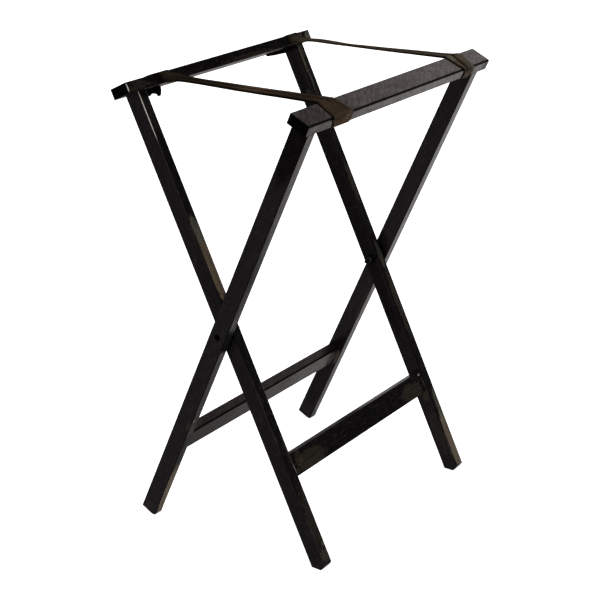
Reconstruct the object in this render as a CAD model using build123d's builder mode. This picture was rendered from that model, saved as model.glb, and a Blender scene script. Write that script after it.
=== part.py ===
from build123d import *
import math
import os

os.makedirs("parts", exist_ok=True)

# Folding wooden tray stand: two frames that cross in an X and turn about two pivot bolts.
# The outer frame carries the +X top rail, the inner frame stands between the outer legs and carries the -X top rail.
# X is the way the legs spread, Y runs along the rails, +Z is up, z = 0 is the floor.
# Inside a frame, u runs across the legs, v runs up the legs from the pivot axis, y runs along the rails.

# ---- driving dimensions, millimetres ----
lean = 25.4            # each leg leans this far from upright, degrees
pivot_z = 387.0        # height of the pivot axis
leg_w = 31.2           # leg width, across the X
leg_t = 18.7           # leg thickness, along Y
width = 487.6          # across the outer faces of the outer legs
leg_gap = 4.4          # between an outer leg and the inner leg beside it
rail_u0 = 22.9         # a rail reaches this far to the inside of the leg's middle line
outer_rail_v0 = 414.3  # underside of the +X rail above the pivot
inner_rail_v0 = 417.2  # underside of the -X rail, which sits a little higher
rail_t = 18.8          # rail thickness
outer_rail_y = (-249.5, 271.0)           # ends of the +X rail: level with the near leg, past the far leg
inner_rail_y = (-247.5, 241.5)           # ends of the -X rail
outer_foot_v = 423.5   # the outer legs are cut square here, below the pivot
inner_toe = (1.6, 7.5, -427.3, -422.3)   # where the inner foot leaves the floor, then its worn toe
bar_t = 18.7           # stretcher thickness
outer_bar_v = (-232.7, -273.4)           # top and bottom edge of the outer stretcher
inner_bar_v = (-228.8, -268.9)           # top and bottom edge of the inner stretcher
outer_bar_front = 6.6                    # front face of the outer stretcher, set back a little past the middle of the legs
inner_bar_front = 9.35                   # front face of the inner stretcher, in the middle of the legs
edge_r = 1.2           # eased edges of legs and stretchers
rail_r = 1.3           # eased edges of the rails
worn_r = 3.2           # top front edge of the +X rail and of the outer stretcher, worn rounder than the others

dowel_r = 3.0
dowel_play = 0.03
dowel_l = 30.0
rail_dowel_in = 11.0   # into the rail
bar_dowel_in = 10.0    # into the leg
rail_dowel_u = 7.0     # two dowels per joint, either side of the leg's middle line
bar_dowel_v = 10.0     # two dowels per joint, either side of the stretcher's middle line

bolt_r = 3.0
bolt_l = 50.0          # far pivot bolt
near_bolt_l = 45.0     # near pivot bolt
bolt_head_r = 5.0
bolt_head_h = 6.0
socket_af = 5.0
socket_deep = 3.0
recess_r = 5.6
recess_deep = 10.5     # the bolt head lies well below the leg's face
pivot_play = 0.05      # running clearance of the bolt in the legs, on the radius
side_play = 0.3        # between the faces that turn past each other
spacer_r = 8.0
washer_r = 9.0
washer_t = 1.6
nut_af = 10.0
nut_h = 5.5
nut_collar_r = 4.4
nut_collar_h = 2.2

strap_t = 1.4          # webbing thickness
strap_gap = 0.3        # webbing held clear of the wood
near_strap_y = (-187.0, -137.0)
far_strap_y = (176.5, 224.5)
far_strap_turn_y = (166.0, 214.0)        # where the far strap comes down on the -X rail, pulled a little askew
strap_under = 17.5     # webbing turned under the +X rail, from its front face
strap_tail = 9.0       # webbing hanging below the -X rail

tack_head_r = 4.5
tack_head_h = 1.3
tack_dimple_r = 2.2    # hollow in the middle of the head
tack_dimple_deep = 0.7
tack_r = 1.0
tack_in = 9.0          # shank in the wood
tack_play = 0.02
front_tack = (14.0, -154.0)              # tack on the front of the +X rail: height above its underside, place along it
near_under_y = (-174.0, -150.0)          # tacks under the +X rail
far_under_y = (190.0, 214.0)
near_inner_y = (-172.0, -150.0)          # tacks on the outside of the -X rail
far_inner_y = (186.0, 201.0)

# ---- derived ----
mid_y = -12.5                            # middle of the legs, so that the whole stand is centred along Y
sn, cs = math.sin(math.radians(lean)), math.cos(math.radians(lean))
half = leg_w / 2
outer_rail_v1 = outer_rail_v0 + rail_t
inner_rail_v1 = inner_rail_v0 + rail_t
outer_y = width / 2                      # outer faces of the outer legs
outer_in_y = outer_y - leg_t             # inner faces of the outer legs
inner_y = outer_in_y - leg_gap           # outer faces of the inner legs
inner_in_y = inner_y - leg_t             # inner faces of the inner legs
outer_bar_u = (outer_bar_front - bar_t, outer_bar_front)
inner_bar_u = (inner_bar_front - bar_t, inner_bar_front)
outer_bar_mid_u = outer_bar_front - bar_t / 2
inner_bar_mid_u = inner_bar_front - bar_t / 2
outer_bar_mid = sum(outer_bar_v) / 2
inner_bar_mid = sum(inner_bar_v) / 2
outer_up, outer_front = (sn, 0, cs), (cs, 0, -sn)
inner_up, inner_front = (-sn, 0, cs), (cs, 0, sn)
to_top_front = Axis((0, 0, 0), (cs + sn, 0, cs - sn))    # from the foot of the outer frame's section to its top front edge


def outer_at(u, v, y):
    """A point of the outer frame, from its place across and up the legs and along the rails."""
    return (u * cs + v * sn, mid_y + y, pivot_z - u * sn + v * cs)


def inner_at(u, v, y):
    """The same for the inner frame."""
    return (u * cs - v * sn, mid_y + y, pivot_z + u * sn + v * cs)


def side(front, y):
    """The plane of a frame's side view at y: u across the legs, v up the legs."""
    return Plane(origin=(0, mid_y + y, pivot_z), x_dir=front, z_dir=(0, -1, 0))


def facing(point, out):
    """The plane at a point of a face, looking out along its normal."""
    return Plane(origin=point, z_dir=out)


def back(out):
    return tuple(-a for a in out)


# Feet: the outer legs are cut square and worn flat where they meet the floor,
# the inner legs are cut level with the floor and worn up at the toe.
outer_wear_v = (-pivot_z + half * sn) / cs
outer_wear_u = (pivot_z - outer_foot_v * cs) / sn
outer_leg_line = [(-half, -outer_foot_v), (outer_wear_u, -outer_foot_v), (half, outer_wear_v), (half, outer_rail_v0), (-half, outer_rail_v0)]
inner_heel_v = (-pivot_z + half * sn) / cs
inner_toe_v = (-pivot_z - inner_toe[0] * sn) / cs
inner_leg_line = [(-half, inner_heel_v), (inner_toe[0], inner_toe_v), (inner_toe[1], inner_toe[2]), (half, inner_toe[3]), (half, inner_rail_v0), (-half, inner_rail_v0)]

# ---- outer frame ----
with BuildPart() as outer_leg_near:
    with BuildSketch(side(outer_front, -outer_y)):
        with BuildLine():
            Polyline(*outer_leg_line, close=True)
        make_face()
    extrude(amount=-leg_t)
    fillet(outer_leg_near.edges().filter_by(Axis((0, 0, 0), outer_up)), edge_r)
    with Locations(facing(outer_at(0, 0, -outer_y), (0, -1, 0))):
        CounterBoreHole(radius=bolt_r + pivot_play, counter_bore_radius=recess_r, counter_bore_depth=recess_deep)
    with Locations(*[facing(outer_at(u, outer_rail_v0, -outer_y + leg_t / 2), outer_up) for u in (-rail_dowel_u, rail_dowel_u)]):
        Hole(radius=dowel_r + dowel_play, depth=dowel_l - rail_dowel_in + 0.5)
    with Locations(*[facing(outer_at(outer_bar_mid_u, outer_bar_mid + v, -outer_in_y), (0, 1, 0)) for v in (-bar_dowel_v, bar_dowel_v)]):
        Hole(radius=dowel_r + dowel_play, depth=bar_dowel_in + 0.5)
outer_leg_near.part.label = "outer_leg_near"
export_step(outer_leg_near.part, "parts/outer_leg_near.step")

with BuildPart() as outer_leg_far:
    with BuildSketch(side(outer_front, outer_in_y)):
        with BuildLine():
            Polyline(*outer_leg_line, close=True)
        make_face()
    extrude(amount=-leg_t)
    fillet(outer_leg_far.edges().filter_by(Axis((0, 0, 0), outer_up)), edge_r)
    with Locations(facing(outer_at(0, 0, outer_y), (0, 1, 0))):
        CounterBoreHole(radius=bolt_r + pivot_play, counter_bore_radius=recess_r, counter_bore_depth=recess_deep)
    with Locations(*[facing(outer_at(u, outer_rail_v0, outer_y - leg_t / 2), outer_up) for u in (-rail_dowel_u, rail_dowel_u)]):
        Hole(radius=dowel_r + dowel_play, depth=dowel_l - rail_dowel_in + 0.5)
    with Locations(*[facing(outer_at(outer_bar_mid_u, outer_bar_mid + v, outer_in_y), (0, -1, 0)) for v in (-bar_dowel_v, bar_dowel_v)]):
        Hole(radius=dowel_r + dowel_play, depth=bar_dowel_in + 0.5)
outer_leg_far.part.label = "outer_leg_far"
export_step(outer_leg_far.part, "parts/outer_leg_far.step")

# Tack places: one on the front face, two under the rail for each strap.
near_front_tack = facing(outer_at(half + strap_gap + strap_t, outer_rail_v0 + front_tack[0], front_tack[1]), outer_front)
near_under_tacks = [facing(outer_at(3.0, outer_rail_v0 - strap_gap - strap_t, y), back(outer_up)) for y in near_under_y]
far_under_tacks = [facing(outer_at(3.0, outer_rail_v0 - strap_gap - strap_t, y), back(outer_up)) for y in far_under_y]
tack_deep = tack_in + 0.5

with BuildPart() as outer_top_rail:
    with BuildSketch(side(outer_front, outer_rail_y[0])):
        with BuildLine():
            Polyline((-rail_u0, outer_rail_v0), (half, outer_rail_v0), (half, outer_rail_v1), (-rail_u0, outer_rail_v1), close=True)
        make_face()
    extrude(amount=outer_rail_y[0] - outer_rail_y[1])
    fillet(outer_top_rail.edges().filter_by(Axis.Y).sort_by(to_top_front)[:-1], rail_r)
    fillet(outer_top_rail.edges().filter_by(Axis.Y).sort_by(to_top_front)[-1], worn_r)
    chamfer(outer_top_rail.faces().filter_by(Axis.Y).edges(), 0.7)
    with Locations(
        *[
            facing(outer_at(u, outer_rail_v0, y), back(outer_up))
            for u in (-rail_dowel_u, rail_dowel_u)
            for y in (-outer_y + leg_t / 2, outer_y - leg_t / 2)
        ]
    ):
        Hole(radius=dowel_r + dowel_play, depth=rail_dowel_in + 0.5)
    with Locations(facing(outer_at(half, outer_rail_v0 + front_tack[0], front_tack[1]), outer_front)):
        Hole(radius=tack_r + tack_play, depth=tack_deep)
    with Locations(*[facing(outer_at(3.0, outer_rail_v0, y), back(outer_up)) for y in near_under_y + far_under_y]):
        Hole(radius=tack_r + tack_play, depth=tack_deep)
outer_top_rail.part.label = "outer_top_rail"
export_step(outer_top_rail.part, "parts/outer_top_rail.step")

with BuildPart() as outer_stretcher:
    with BuildSketch(side(outer_front, -outer_in_y)):
        with BuildLine():
            Polyline((outer_bar_u[0], outer_bar_v[1]), (outer_bar_u[1], outer_bar_v[1]), (outer_bar_u[1], outer_bar_v[0]), (outer_bar_u[0], outer_bar_v[0]), close=True)
        make_face()
    extrude(amount=-2 * outer_in_y)
    fillet(outer_stretcher.edges().filter_by(Axis.Y).sort_by(to_top_front)[:-1], edge_r)
    fillet(outer_stretcher.edges().filter_by(Axis.Y).sort_by(to_top_front)[-1], worn_r)
    with Locations(*[facing(outer_at(outer_bar_mid_u, outer_bar_mid + v, -outer_in_y), (0, -1, 0)) for v in (-bar_dowel_v, bar_dowel_v)]):
        Hole(radius=dowel_r + dowel_play, depth=dowel_l - bar_dowel_in + 0.5)
    with Locations(*[facing(outer_at(outer_bar_mid_u, outer_bar_mid + v, outer_in_y), (0, 1, 0)) for v in (-bar_dowel_v, bar_dowel_v)]):
        Hole(radius=dowel_r + dowel_play, depth=dowel_l - bar_dowel_in + 0.5)
outer_stretcher.part.label = "outer_stretcher"
export_step(outer_stretcher.part, "parts/outer_stretcher.step")

# ---- inner frame ----
with BuildPart() as inner_leg_near:
    with BuildSketch(side(inner_front, -inner_y)):
        with BuildLine():
            Polyline(*inner_leg_line, close=True)
        make_face()
    extrude(amount=-leg_t)
    fillet(inner_leg_near.edges().filter_by(Axis((0, 0, 0), inner_up)), edge_r)
    with Locations(facing(inner_at(0, 0, -inner_y), (0, -1, 0))):
        Hole(radius=bolt_r + pivot_play)
    with Locations(*[facing(inner_at(u, inner_rail_v0, -inner_y + leg_t / 2), inner_up) for u in (-rail_dowel_u, rail_dowel_u)]):
        Hole(radius=dowel_r + dowel_play, depth=dowel_l - rail_dowel_in + 0.5)
    with Locations(*[facing(inner_at(inner_bar_mid_u, inner_bar_mid + v, -inner_in_y), (0, 1, 0)) for v in (-bar_dowel_v, bar_dowel_v)]):
        Hole(radius=dowel_r + dowel_play, depth=bar_dowel_in + 0.5)
inner_leg_near.part.label = "inner_leg_near"
export_step(inner_leg_near.part, "parts/inner_leg_near.step")

with BuildPart() as inner_leg_far:
    with BuildSketch(side(inner_front, inner_in_y)):
        with BuildLine():
            Polyline(*inner_leg_line, close=True)
        make_face()
    extrude(amount=-leg_t)
    fillet(inner_leg_far.edges().filter_by(Axis((0, 0, 0), inner_up)), edge_r)
    with Locations(facing(inner_at(0, 0, inner_y), (0, 1, 0))):
        Hole(radius=bolt_r + pivot_play)
    with Locations(*[facing(inner_at(u, inner_rail_v0, inner_y - leg_t / 2), inner_up) for u in (-rail_dowel_u, rail_dowel_u)]):
        Hole(radius=dowel_r + dowel_play, depth=dowel_l - rail_dowel_in + 0.5)
    with Locations(*[facing(inner_at(inner_bar_mid_u, inner_bar_mid + v, inner_in_y), (0, -1, 0)) for v in (-bar_dowel_v, bar_dowel_v)]):
        Hole(radius=dowel_r + dowel_play, depth=bar_dowel_in + 0.5)
inner_leg_far.part.label = "inner_leg_far"
export_step(inner_leg_far.part, "parts/inner_leg_far.step")

# Tacks on the outside face of the -X rail, two for each strap.
inner_tack_v = inner_rail_v0 + 8.5
near_inner_tacks = [facing(inner_at(-half - strap_gap - strap_t, inner_tack_v, y), back(inner_front)) for y in near_inner_y]
far_inner_tacks = [facing(inner_at(-half - strap_gap - strap_t, inner_tack_v, y), back(inner_front)) for y in far_inner_y]

with BuildPart() as inner_top_rail:
    with BuildSketch(side(inner_front, inner_rail_y[0])):
        with BuildLine():
            Polyline((-half, inner_rail_v0), (rail_u0, inner_rail_v0), (rail_u0, inner_rail_v1), (-half, inner_rail_v1), close=True)
        make_face()
    extrude(amount=inner_rail_y[0] - inner_rail_y[1])
    fillet(inner_top_rail.edges().filter_by(Axis.Y), rail_r)
    chamfer(inner_top_rail.faces().filter_by(Axis.Y).edges(), 0.7)
    with Locations(
        *[
            facing(inner_at(u, inner_rail_v0, y), back(inner_up))
            for u in (-rail_dowel_u, rail_dowel_u)
            for y in (-inner_y + leg_t / 2, inner_y - leg_t / 2)
        ]
    ):
        Hole(radius=dowel_r + dowel_play, depth=rail_dowel_in + 0.5)
    with Locations(*[facing(inner_at(-half, inner_tack_v, y), back(inner_front)) for y in near_inner_y + far_inner_y]):
        Hole(radius=tack_r + tack_play, depth=tack_deep)
inner_top_rail.part.label = "inner_top_rail"
export_step(inner_top_rail.part, "parts/inner_top_rail.step")

with BuildPart() as inner_stretcher:
    with BuildSketch(side(inner_front, -inner_in_y)):
        with BuildLine():
            Polyline((inner_bar_u[0], inner_bar_v[1]), (inner_bar_u[1], inner_bar_v[1]), (inner_bar_u[1], inner_bar_v[0]), (inner_bar_u[0], inner_bar_v[0]), close=True)
        make_face()
    extrude(amount=-2 * inner_in_y)
    fillet(inner_stretcher.edges().filter_by(Axis.Y), edge_r)
    with Locations(*[facing(inner_at(inner_bar_mid_u, inner_bar_mid + v, -inner_in_y), (0, -1, 0)) for v in (-bar_dowel_v, bar_dowel_v)]):
        Hole(radius=dowel_r + dowel_play, depth=dowel_l - bar_dowel_in + 0.5)
    with Locations(*[facing(inner_at(inner_bar_mid_u, inner_bar_mid + v, inner_in_y), (0, 1, 0)) for v in (-bar_dowel_v, bar_dowel_v)]):
        Hole(radius=dowel_r + dowel_play, depth=dowel_l - bar_dowel_in + 0.5)
inner_stretcher.part.label = "inner_stretcher"
export_step(inner_stretcher.part, "parts/inner_stretcher.step")

# ---- dowels, two in each joint ----
low = (Align.CENTER, Align.CENTER, Align.MIN)

with BuildPart() as outer_rail_dowels_near:
    with Locations(*[facing(outer_at(u, outer_rail_v0 + rail_dowel_in - dowel_l, -outer_y + leg_t / 2), outer_up) for u in (-rail_dowel_u, rail_dowel_u)]):
        Cylinder(dowel_r, dowel_l, align=low)
    chamfer(outer_rail_dowels_near.edges().filter_by(GeomType.CIRCLE), 0.8)
outer_rail_dowels_near.part.label = "outer_rail_dowels_near"
export_step(outer_rail_dowels_near.part, "parts/outer_rail_dowels_near.step")

with BuildPart() as outer_rail_dowels_far:
    with Locations(*[facing(outer_at(u, outer_rail_v0 + rail_dowel_in - dowel_l, outer_y - leg_t / 2), outer_up) for u in (-rail_dowel_u, rail_dowel_u)]):
        Cylinder(dowel_r, dowel_l, align=low)
    chamfer(outer_rail_dowels_far.edges().filter_by(GeomType.CIRCLE), 0.8)
outer_rail_dowels_far.part.label = "outer_rail_dowels_far"
export_step(outer_rail_dowels_far.part, "parts/outer_rail_dowels_far.step")

with BuildPart() as outer_stretcher_dowels_near:
    with Locations(*[facing(outer_at(outer_bar_mid_u, outer_bar_mid + v, -outer_in_y - bar_dowel_in), (0, 1, 0)) for v in (-bar_dowel_v, bar_dowel_v)]):
        Cylinder(dowel_r, dowel_l, align=low)
    chamfer(outer_stretcher_dowels_near.edges().filter_by(GeomType.CIRCLE), 0.8)
outer_stretcher_dowels_near.part.label = "outer_stretcher_dowels_near"
export_step(outer_stretcher_dowels_near.part, "parts/outer_stretcher_dowels_near.step")

with BuildPart() as outer_stretcher_dowels_far:
    with Locations(*[facing(outer_at(outer_bar_mid_u, outer_bar_mid + v, outer_in_y + bar_dowel_in), (0, -1, 0)) for v in (-bar_dowel_v, bar_dowel_v)]):
        Cylinder(dowel_r, dowel_l, align=low)
    chamfer(outer_stretcher_dowels_far.edges().filter_by(GeomType.CIRCLE), 0.8)
outer_stretcher_dowels_far.part.label = "outer_stretcher_dowels_far"
export_step(outer_stretcher_dowels_far.part, "parts/outer_stretcher_dowels_far.step")

with BuildPart() as inner_rail_dowels_near:
    with Locations(*[facing(inner_at(u, inner_rail_v0 + rail_dowel_in - dowel_l, -inner_y + leg_t / 2), inner_up) for u in (-rail_dowel_u, rail_dowel_u)]):
        Cylinder(dowel_r, dowel_l, align=low)
    chamfer(inner_rail_dowels_near.edges().filter_by(GeomType.CIRCLE), 0.8)
inner_rail_dowels_near.part.label = "inner_rail_dowels_near"
export_step(inner_rail_dowels_near.part, "parts/inner_rail_dowels_near.step")

with BuildPart() as inner_rail_dowels_far:
    with Locations(*[facing(inner_at(u, inner_rail_v0 + rail_dowel_in - dowel_l, inner_y - leg_t / 2), inner_up) for u in (-rail_dowel_u, rail_dowel_u)]):
        Cylinder(dowel_r, dowel_l, align=low)
    chamfer(inner_rail_dowels_far.edges().filter_by(GeomType.CIRCLE), 0.8)
inner_rail_dowels_far.part.label = "inner_rail_dowels_far"
export_step(inner_rail_dowels_far.part, "parts/inner_rail_dowels_far.step")

with BuildPart() as inner_stretcher_dowels_near:
    with Locations(*[facing(inner_at(inner_bar_mid_u, inner_bar_mid + v, -inner_in_y - bar_dowel_in), (0, 1, 0)) for v in (-bar_dowel_v, bar_dowel_v)]):
        Cylinder(dowel_r, dowel_l, align=low)
    chamfer(inner_stretcher_dowels_near.edges().filter_by(GeomType.CIRCLE), 0.8)
inner_stretcher_dowels_near.part.label = "inner_stretcher_dowels_near"
export_step(inner_stretcher_dowels_near.part, "parts/inner_stretcher_dowels_near.step")

with BuildPart() as inner_stretcher_dowels_far:
    with Locations(*[facing(inner_at(inner_bar_mid_u, inner_bar_mid + v, inner_in_y + bar_dowel_in), (0, -1, 0)) for v in (-bar_dowel_v, bar_dowel_v)]):
        Cylinder(dowel_r, dowel_l, align=low)
    chamfer(inner_stretcher_dowels_far.edges().filter_by(GeomType.CIRCLE), 0.8)
inner_stretcher_dowels_far.part.label = "inner_stretcher_dowels_far"
export_step(inner_stretcher_dowels_far.part, "parts/inner_stretcher_dowels_far.step")

# ---- pivots: a socket-head bolt sunk in each outer leg, a spacer between the legs, a washer and a lock nut inside ----
seat_y = outer_y - recess_deep           # the recess floor under the bolt head
washer_y = inner_in_y - side_play        # washer face next to the inner leg
nut_y = washer_y - washer_t              # nut face on the washer

near_head = Plane(origin=outer_at(0, 0, -seat_y), x_dir=(1, 0, 0), z_dir=(0, -1, 0))
with BuildPart() as pivot_bolt_near:
    with BuildSketch(near_head):
        Circle(bolt_head_r)
    extrude(amount=bolt_head_h)
    chamfer(pivot_bolt_near.edges().filter_by(GeomType.CIRCLE).sort_by(Axis.Y)[0], 0.6)
    with BuildSketch(near_head.offset(bolt_head_h)):
        RegularPolygon(socket_af / math.sqrt(3), 6)
    extrude(amount=-socket_deep, mode=Mode.SUBTRACT)
    with BuildSketch(near_head):
        Circle(bolt_r)
    extrude(amount=-near_bolt_l)
    chamfer(pivot_bolt_near.edges().filter_by(GeomType.CIRCLE).sort_by(Axis.Y)[-1], 0.8)
pivot_bolt_near.part.label = "pivot_bolt_near"
export_step(pivot_bolt_near.part, "parts/pivot_bolt_near.step")

far_head = Plane(origin=outer_at(0, 0, seat_y), x_dir=(1, 0, 0), z_dir=(0, 1, 0))
with BuildPart() as pivot_bolt_far:
    with BuildSketch(far_head):
        Circle(bolt_head_r)
    extrude(amount=bolt_head_h)
    chamfer(pivot_bolt_far.edges().filter_by(GeomType.CIRCLE).sort_by(Axis.Y)[-1], 0.6)
    with BuildSketch(far_head.offset(bolt_head_h)):
        RegularPolygon(socket_af / math.sqrt(3), 6)
    extrude(amount=-socket_deep, mode=Mode.SUBTRACT)
    with BuildSketch(far_head):
        Circle(bolt_r)
    extrude(amount=-bolt_l)
    chamfer(pivot_bolt_far.edges().filter_by(GeomType.CIRCLE).sort_by(Axis.Y)[0], 0.8)
pivot_bolt_far.part.label = "pivot_bolt_far"
export_step(pivot_bolt_far.part, "parts/pivot_bolt_far.step")

with BuildPart() as pivot_spacer_near:
    with BuildSketch(Plane(origin=outer_at(0, 0, -outer_in_y), x_dir=(1, 0, 0), z_dir=(0, 1, 0))):
        Circle(spacer_r)
        Circle(bolt_r + pivot_play, mode=Mode.SUBTRACT)
    extrude(amount=leg_gap - side_play)
    chamfer(pivot_spacer_near.edges().filter_by(GeomType.CIRCLE).group_by(SortBy.RADIUS)[-1], 0.5)
pivot_spacer_near.part.label = "pivot_spacer_near"
export_step(pivot_spacer_near.part, "parts/pivot_spacer_near.step")

with BuildPart() as pivot_spacer_far:
    with BuildSketch(Plane(origin=outer_at(0, 0, outer_in_y), x_dir=(1, 0, 0), z_dir=(0, -1, 0))):
        Circle(spacer_r)
        Circle(bolt_r + pivot_play, mode=Mode.SUBTRACT)
    extrude(amount=leg_gap - side_play)
    chamfer(pivot_spacer_far.edges().filter_by(GeomType.CIRCLE).group_by(SortBy.RADIUS)[-1], 0.5)
pivot_spacer_far.part.label = "pivot_spacer_far"
export_step(pivot_spacer_far.part, "parts/pivot_spacer_far.step")

with BuildPart() as pivot_washer_near:
    with BuildSketch(Plane(origin=outer_at(0, 0, -washer_y), x_dir=(1, 0, 0), z_dir=(0, 1, 0))):
        Circle(washer_r)
        Circle(bolt_r + 0.2, mode=Mode.SUBTRACT)
    extrude(amount=washer_t)
    fillet(pivot_washer_near.edges().filter_by(GeomType.CIRCLE).group_by(SortBy.RADIUS)[-1], 0.4)
pivot_washer_near.part.label = "pivot_washer_near"
export_step(pivot_washer_near.part, "parts/pivot_washer_near.step")

with BuildPart() as pivot_washer_far:
    with BuildSketch(Plane(origin=outer_at(0, 0, washer_y), x_dir=(1, 0, 0), z_dir=(0, -1, 0))):
        Circle(washer_r)
        Circle(bolt_r + 0.2, mode=Mode.SUBTRACT)
    extrude(amount=washer_t)
    fillet(pivot_washer_far.edges().filter_by(GeomType.CIRCLE).group_by(SortBy.RADIUS)[-1], 0.4)
pivot_washer_far.part.label = "pivot_washer_far"
export_step(pivot_washer_far.part, "parts/pivot_washer_far.step")

near_nut = Plane(origin=outer_at(0, 0, -nut_y), x_dir=(1, 0, 0), z_dir=(0, 1, 0))
with BuildPart() as pivot_nut_near:
    with BuildSketch(near_nut):
        RegularPolygon(nut_af / math.sqrt(3), 6, rotation=17)
    extrude(amount=nut_h)
    with BuildSketch(near_nut.offset(nut_h)):
        Circle(nut_collar_r)
    extrude(amount=nut_collar_h)
    fillet(pivot_nut_near.edges().filter_by(GeomType.CIRCLE).sort_by(Axis.Y)[-1], 0.7)
    with BuildSketch(near_nut):
        Circle(bolt_r + dowel_play)
    extrude(amount=nut_h + nut_collar_h, mode=Mode.SUBTRACT)
pivot_nut_near.part.label = "pivot_nut_near"
export_step(pivot_nut_near.part, "parts/pivot_nut_near.step")

far_nut = Plane(origin=outer_at(0, 0, nut_y), x_dir=(1, 0, 0), z_dir=(0, -1, 0))
with BuildPart() as pivot_nut_far:
    with BuildSketch(far_nut):
        RegularPolygon(nut_af / math.sqrt(3), 6, rotation=8)
    extrude(amount=nut_h)
    with BuildSketch(far_nut.offset(nut_h)):
        Circle(nut_collar_r)
    extrude(amount=nut_collar_h)
    fillet(pivot_nut_far.edges().filter_by(GeomType.CIRCLE).sort_by(Axis.Y)[0], 0.7)
    with BuildSketch(far_nut):
        Circle(bolt_r + dowel_play)
    extrude(amount=nut_h + nut_collar_h, mode=Mode.SUBTRACT)
pivot_nut_far.part.label = "pivot_nut_far"
export_step(pivot_nut_far.part, "parts/pivot_nut_far.step")

# ---- straps: flat webbing from under the +X rail, over both rails, down the outside of the -X rail ----
off = strap_gap + strap_t / 2


def meet(p, along, q, way):
    """Where the line from p along one direction meets the line from q along another, in the side view."""
    det = along[0] * -way[2] + way[0] * along[2]
    k = ((q[0] - p[0]) * -way[2] + way[0] * (q[2] - p[2])) / det
    return (p[0] + along[0] * k, 0, p[2] + along[2] * k)


# the span runs straight between the inside top edges of the two rails, just above them
right_edge, left_edge = outer_at(-rail_u0, outer_rail_v1, 0), inner_at(rail_u0, inner_rail_v1, 0)
span_l = math.dist(right_edge, left_edge)
span_way = tuple((b - a) / span_l for a, b in zip(right_edge, left_edge))
span_from = (right_edge[0] + span_way[2] * off, 0, right_edge[2] - span_way[0] * off)
route = [
    outer_at(half - strap_under, outer_rail_v0 - off, 0),
    outer_at(half + off, outer_rail_v0 - off, 0),
    outer_at(half + off, outer_rail_v1 + off, 0),
    meet(span_from, span_way, outer_at(0, outer_rail_v1 + off, 0), outer_front),
    meet(span_from, span_way, inner_at(0, inner_rail_v1 + off, 0), inner_front),
    inner_at(-half - off, inner_rail_v1 + off, 0),
    inner_at(-half - off, inner_rail_v0 - strap_tail, 0),
]
route = [(p[0], p[2]) for p in route]


def beside(points, d):
    """The line beside a run of points, at distance d, with mitred corners."""
    made = []
    for i, p in enumerate(points):
        ways = []
        for a, b in ((i - 1, i), (i, i + 1)):
            if a >= 0 and b < len(points):
                dx, dz = points[b][0] - points[a][0], points[b][1] - points[a][1]
                n = math.hypot(dx, dz)
                ways.append((-dz / n, dx / n))
        nx, nz = sum(w[0] for w in ways) / len(ways), sum(w[1] for w in ways) / len(ways)
        k = d / (nx * nx + nz * nz)
        made.append((p[0] + nx * k, p[1] + nz * k))
    return made


strap_line = beside(route, strap_t / 2) + beside(route, -strap_t / 2)[::-1]

with BuildPart() as near_strap:
    with BuildSketch(Plane.XZ.offset(-(mid_y + near_strap_y[0]))):
        with BuildLine():
            Polyline(*strap_line, close=True)
        make_face()
    extrude(amount=near_strap_y[0] - near_strap_y[1])
    with Locations(near_front_tack, *near_under_tacks, *near_inner_tacks):
        Hole(radius=tack_r + 0.35, depth=strap_t + 0.2)
near_strap.part.label = "near_strap"
export_step(near_strap.part, "parts/near_strap.step")

far_line = beside(route[:5], strap_t / 2) + beside(route[:5], -strap_t / 2)[::-1]
turn_line = beside(route[4:], strap_t / 2) + beside(route[4:], -strap_t / 2)[::-1]
with BuildPart() as far_strap:
    with BuildSketch(Plane.XZ.offset(-(mid_y + far_strap_y[0]))):
        with BuildLine():
            Polyline(*far_line, close=True)
        make_face()
    extrude(amount=far_strap_y[0] - far_strap_y[1])
    with BuildSketch(Plane.XZ.offset(-(mid_y + far_strap_turn_y[0]))):
        with BuildLine():
            Polyline(*turn_line, close=True)
        make_face()
    extrude(amount=far_strap_turn_y[0] - far_strap_turn_y[1])
    with Locations(*far_under_tacks, *far_inner_tacks):
        Hole(radius=tack_r + 0.35, depth=strap_t + 0.2)
far_strap.part.label = "far_strap"
export_step(far_strap.part, "parts/far_strap.step")

# ---- tacks: domed heads on the webbing, shanks in the wood ----
shank = strap_gap + strap_t + tack_in
hang = (Align.CENTER, Align.CENTER, Align.MAX)


def proud(plane):
    """The plane of a tack head's underside, just off the webbing."""
    return plane.offset(0.05 if plane.origin.X > 0 else side_play)


with BuildPart() as near_strap_front_tack:
    with Locations(proud(near_front_tack)):
        Cylinder(tack_head_r, tack_head_h, align=low)
    fillet(near_strap_front_tack.edges().filter_by(GeomType.CIRCLE).sort_by(Axis((0, 0, 0), outer_front))[-1], 1.0)
    with Locations(proud(near_front_tack)):
        Cylinder(tack_r, shank, align=hang)
    with Locations(proud(near_front_tack).offset(tack_head_h)):
        Hole(radius=tack_dimple_r, depth=tack_dimple_deep)
near_strap_front_tack.part.label = "near_strap_front_tack"
export_step(near_strap_front_tack.part, "parts/near_strap_front_tack.step")

with BuildPart() as near_strap_under_tacks:
    with Locations(*[proud(p) for p in near_under_tacks]):
        Cylinder(tack_head_r, tack_head_h, align=low)
    fillet(near_strap_under_tacks.edges().filter_by(GeomType.CIRCLE).group_by(Axis((0, 0, 0), outer_up))[0], 1.0)
    with Locations(*[proud(p) for p in near_under_tacks]):
        Cylinder(tack_r, shank, align=hang)
    with Locations(*[proud(p).offset(tack_head_h) for p in near_under_tacks]):
        Hole(radius=tack_dimple_r, depth=tack_dimple_deep)
near_strap_under_tacks.part.label = "near_strap_under_tacks"
export_step(near_strap_under_tacks.part, "parts/near_strap_under_tacks.step")

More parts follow.
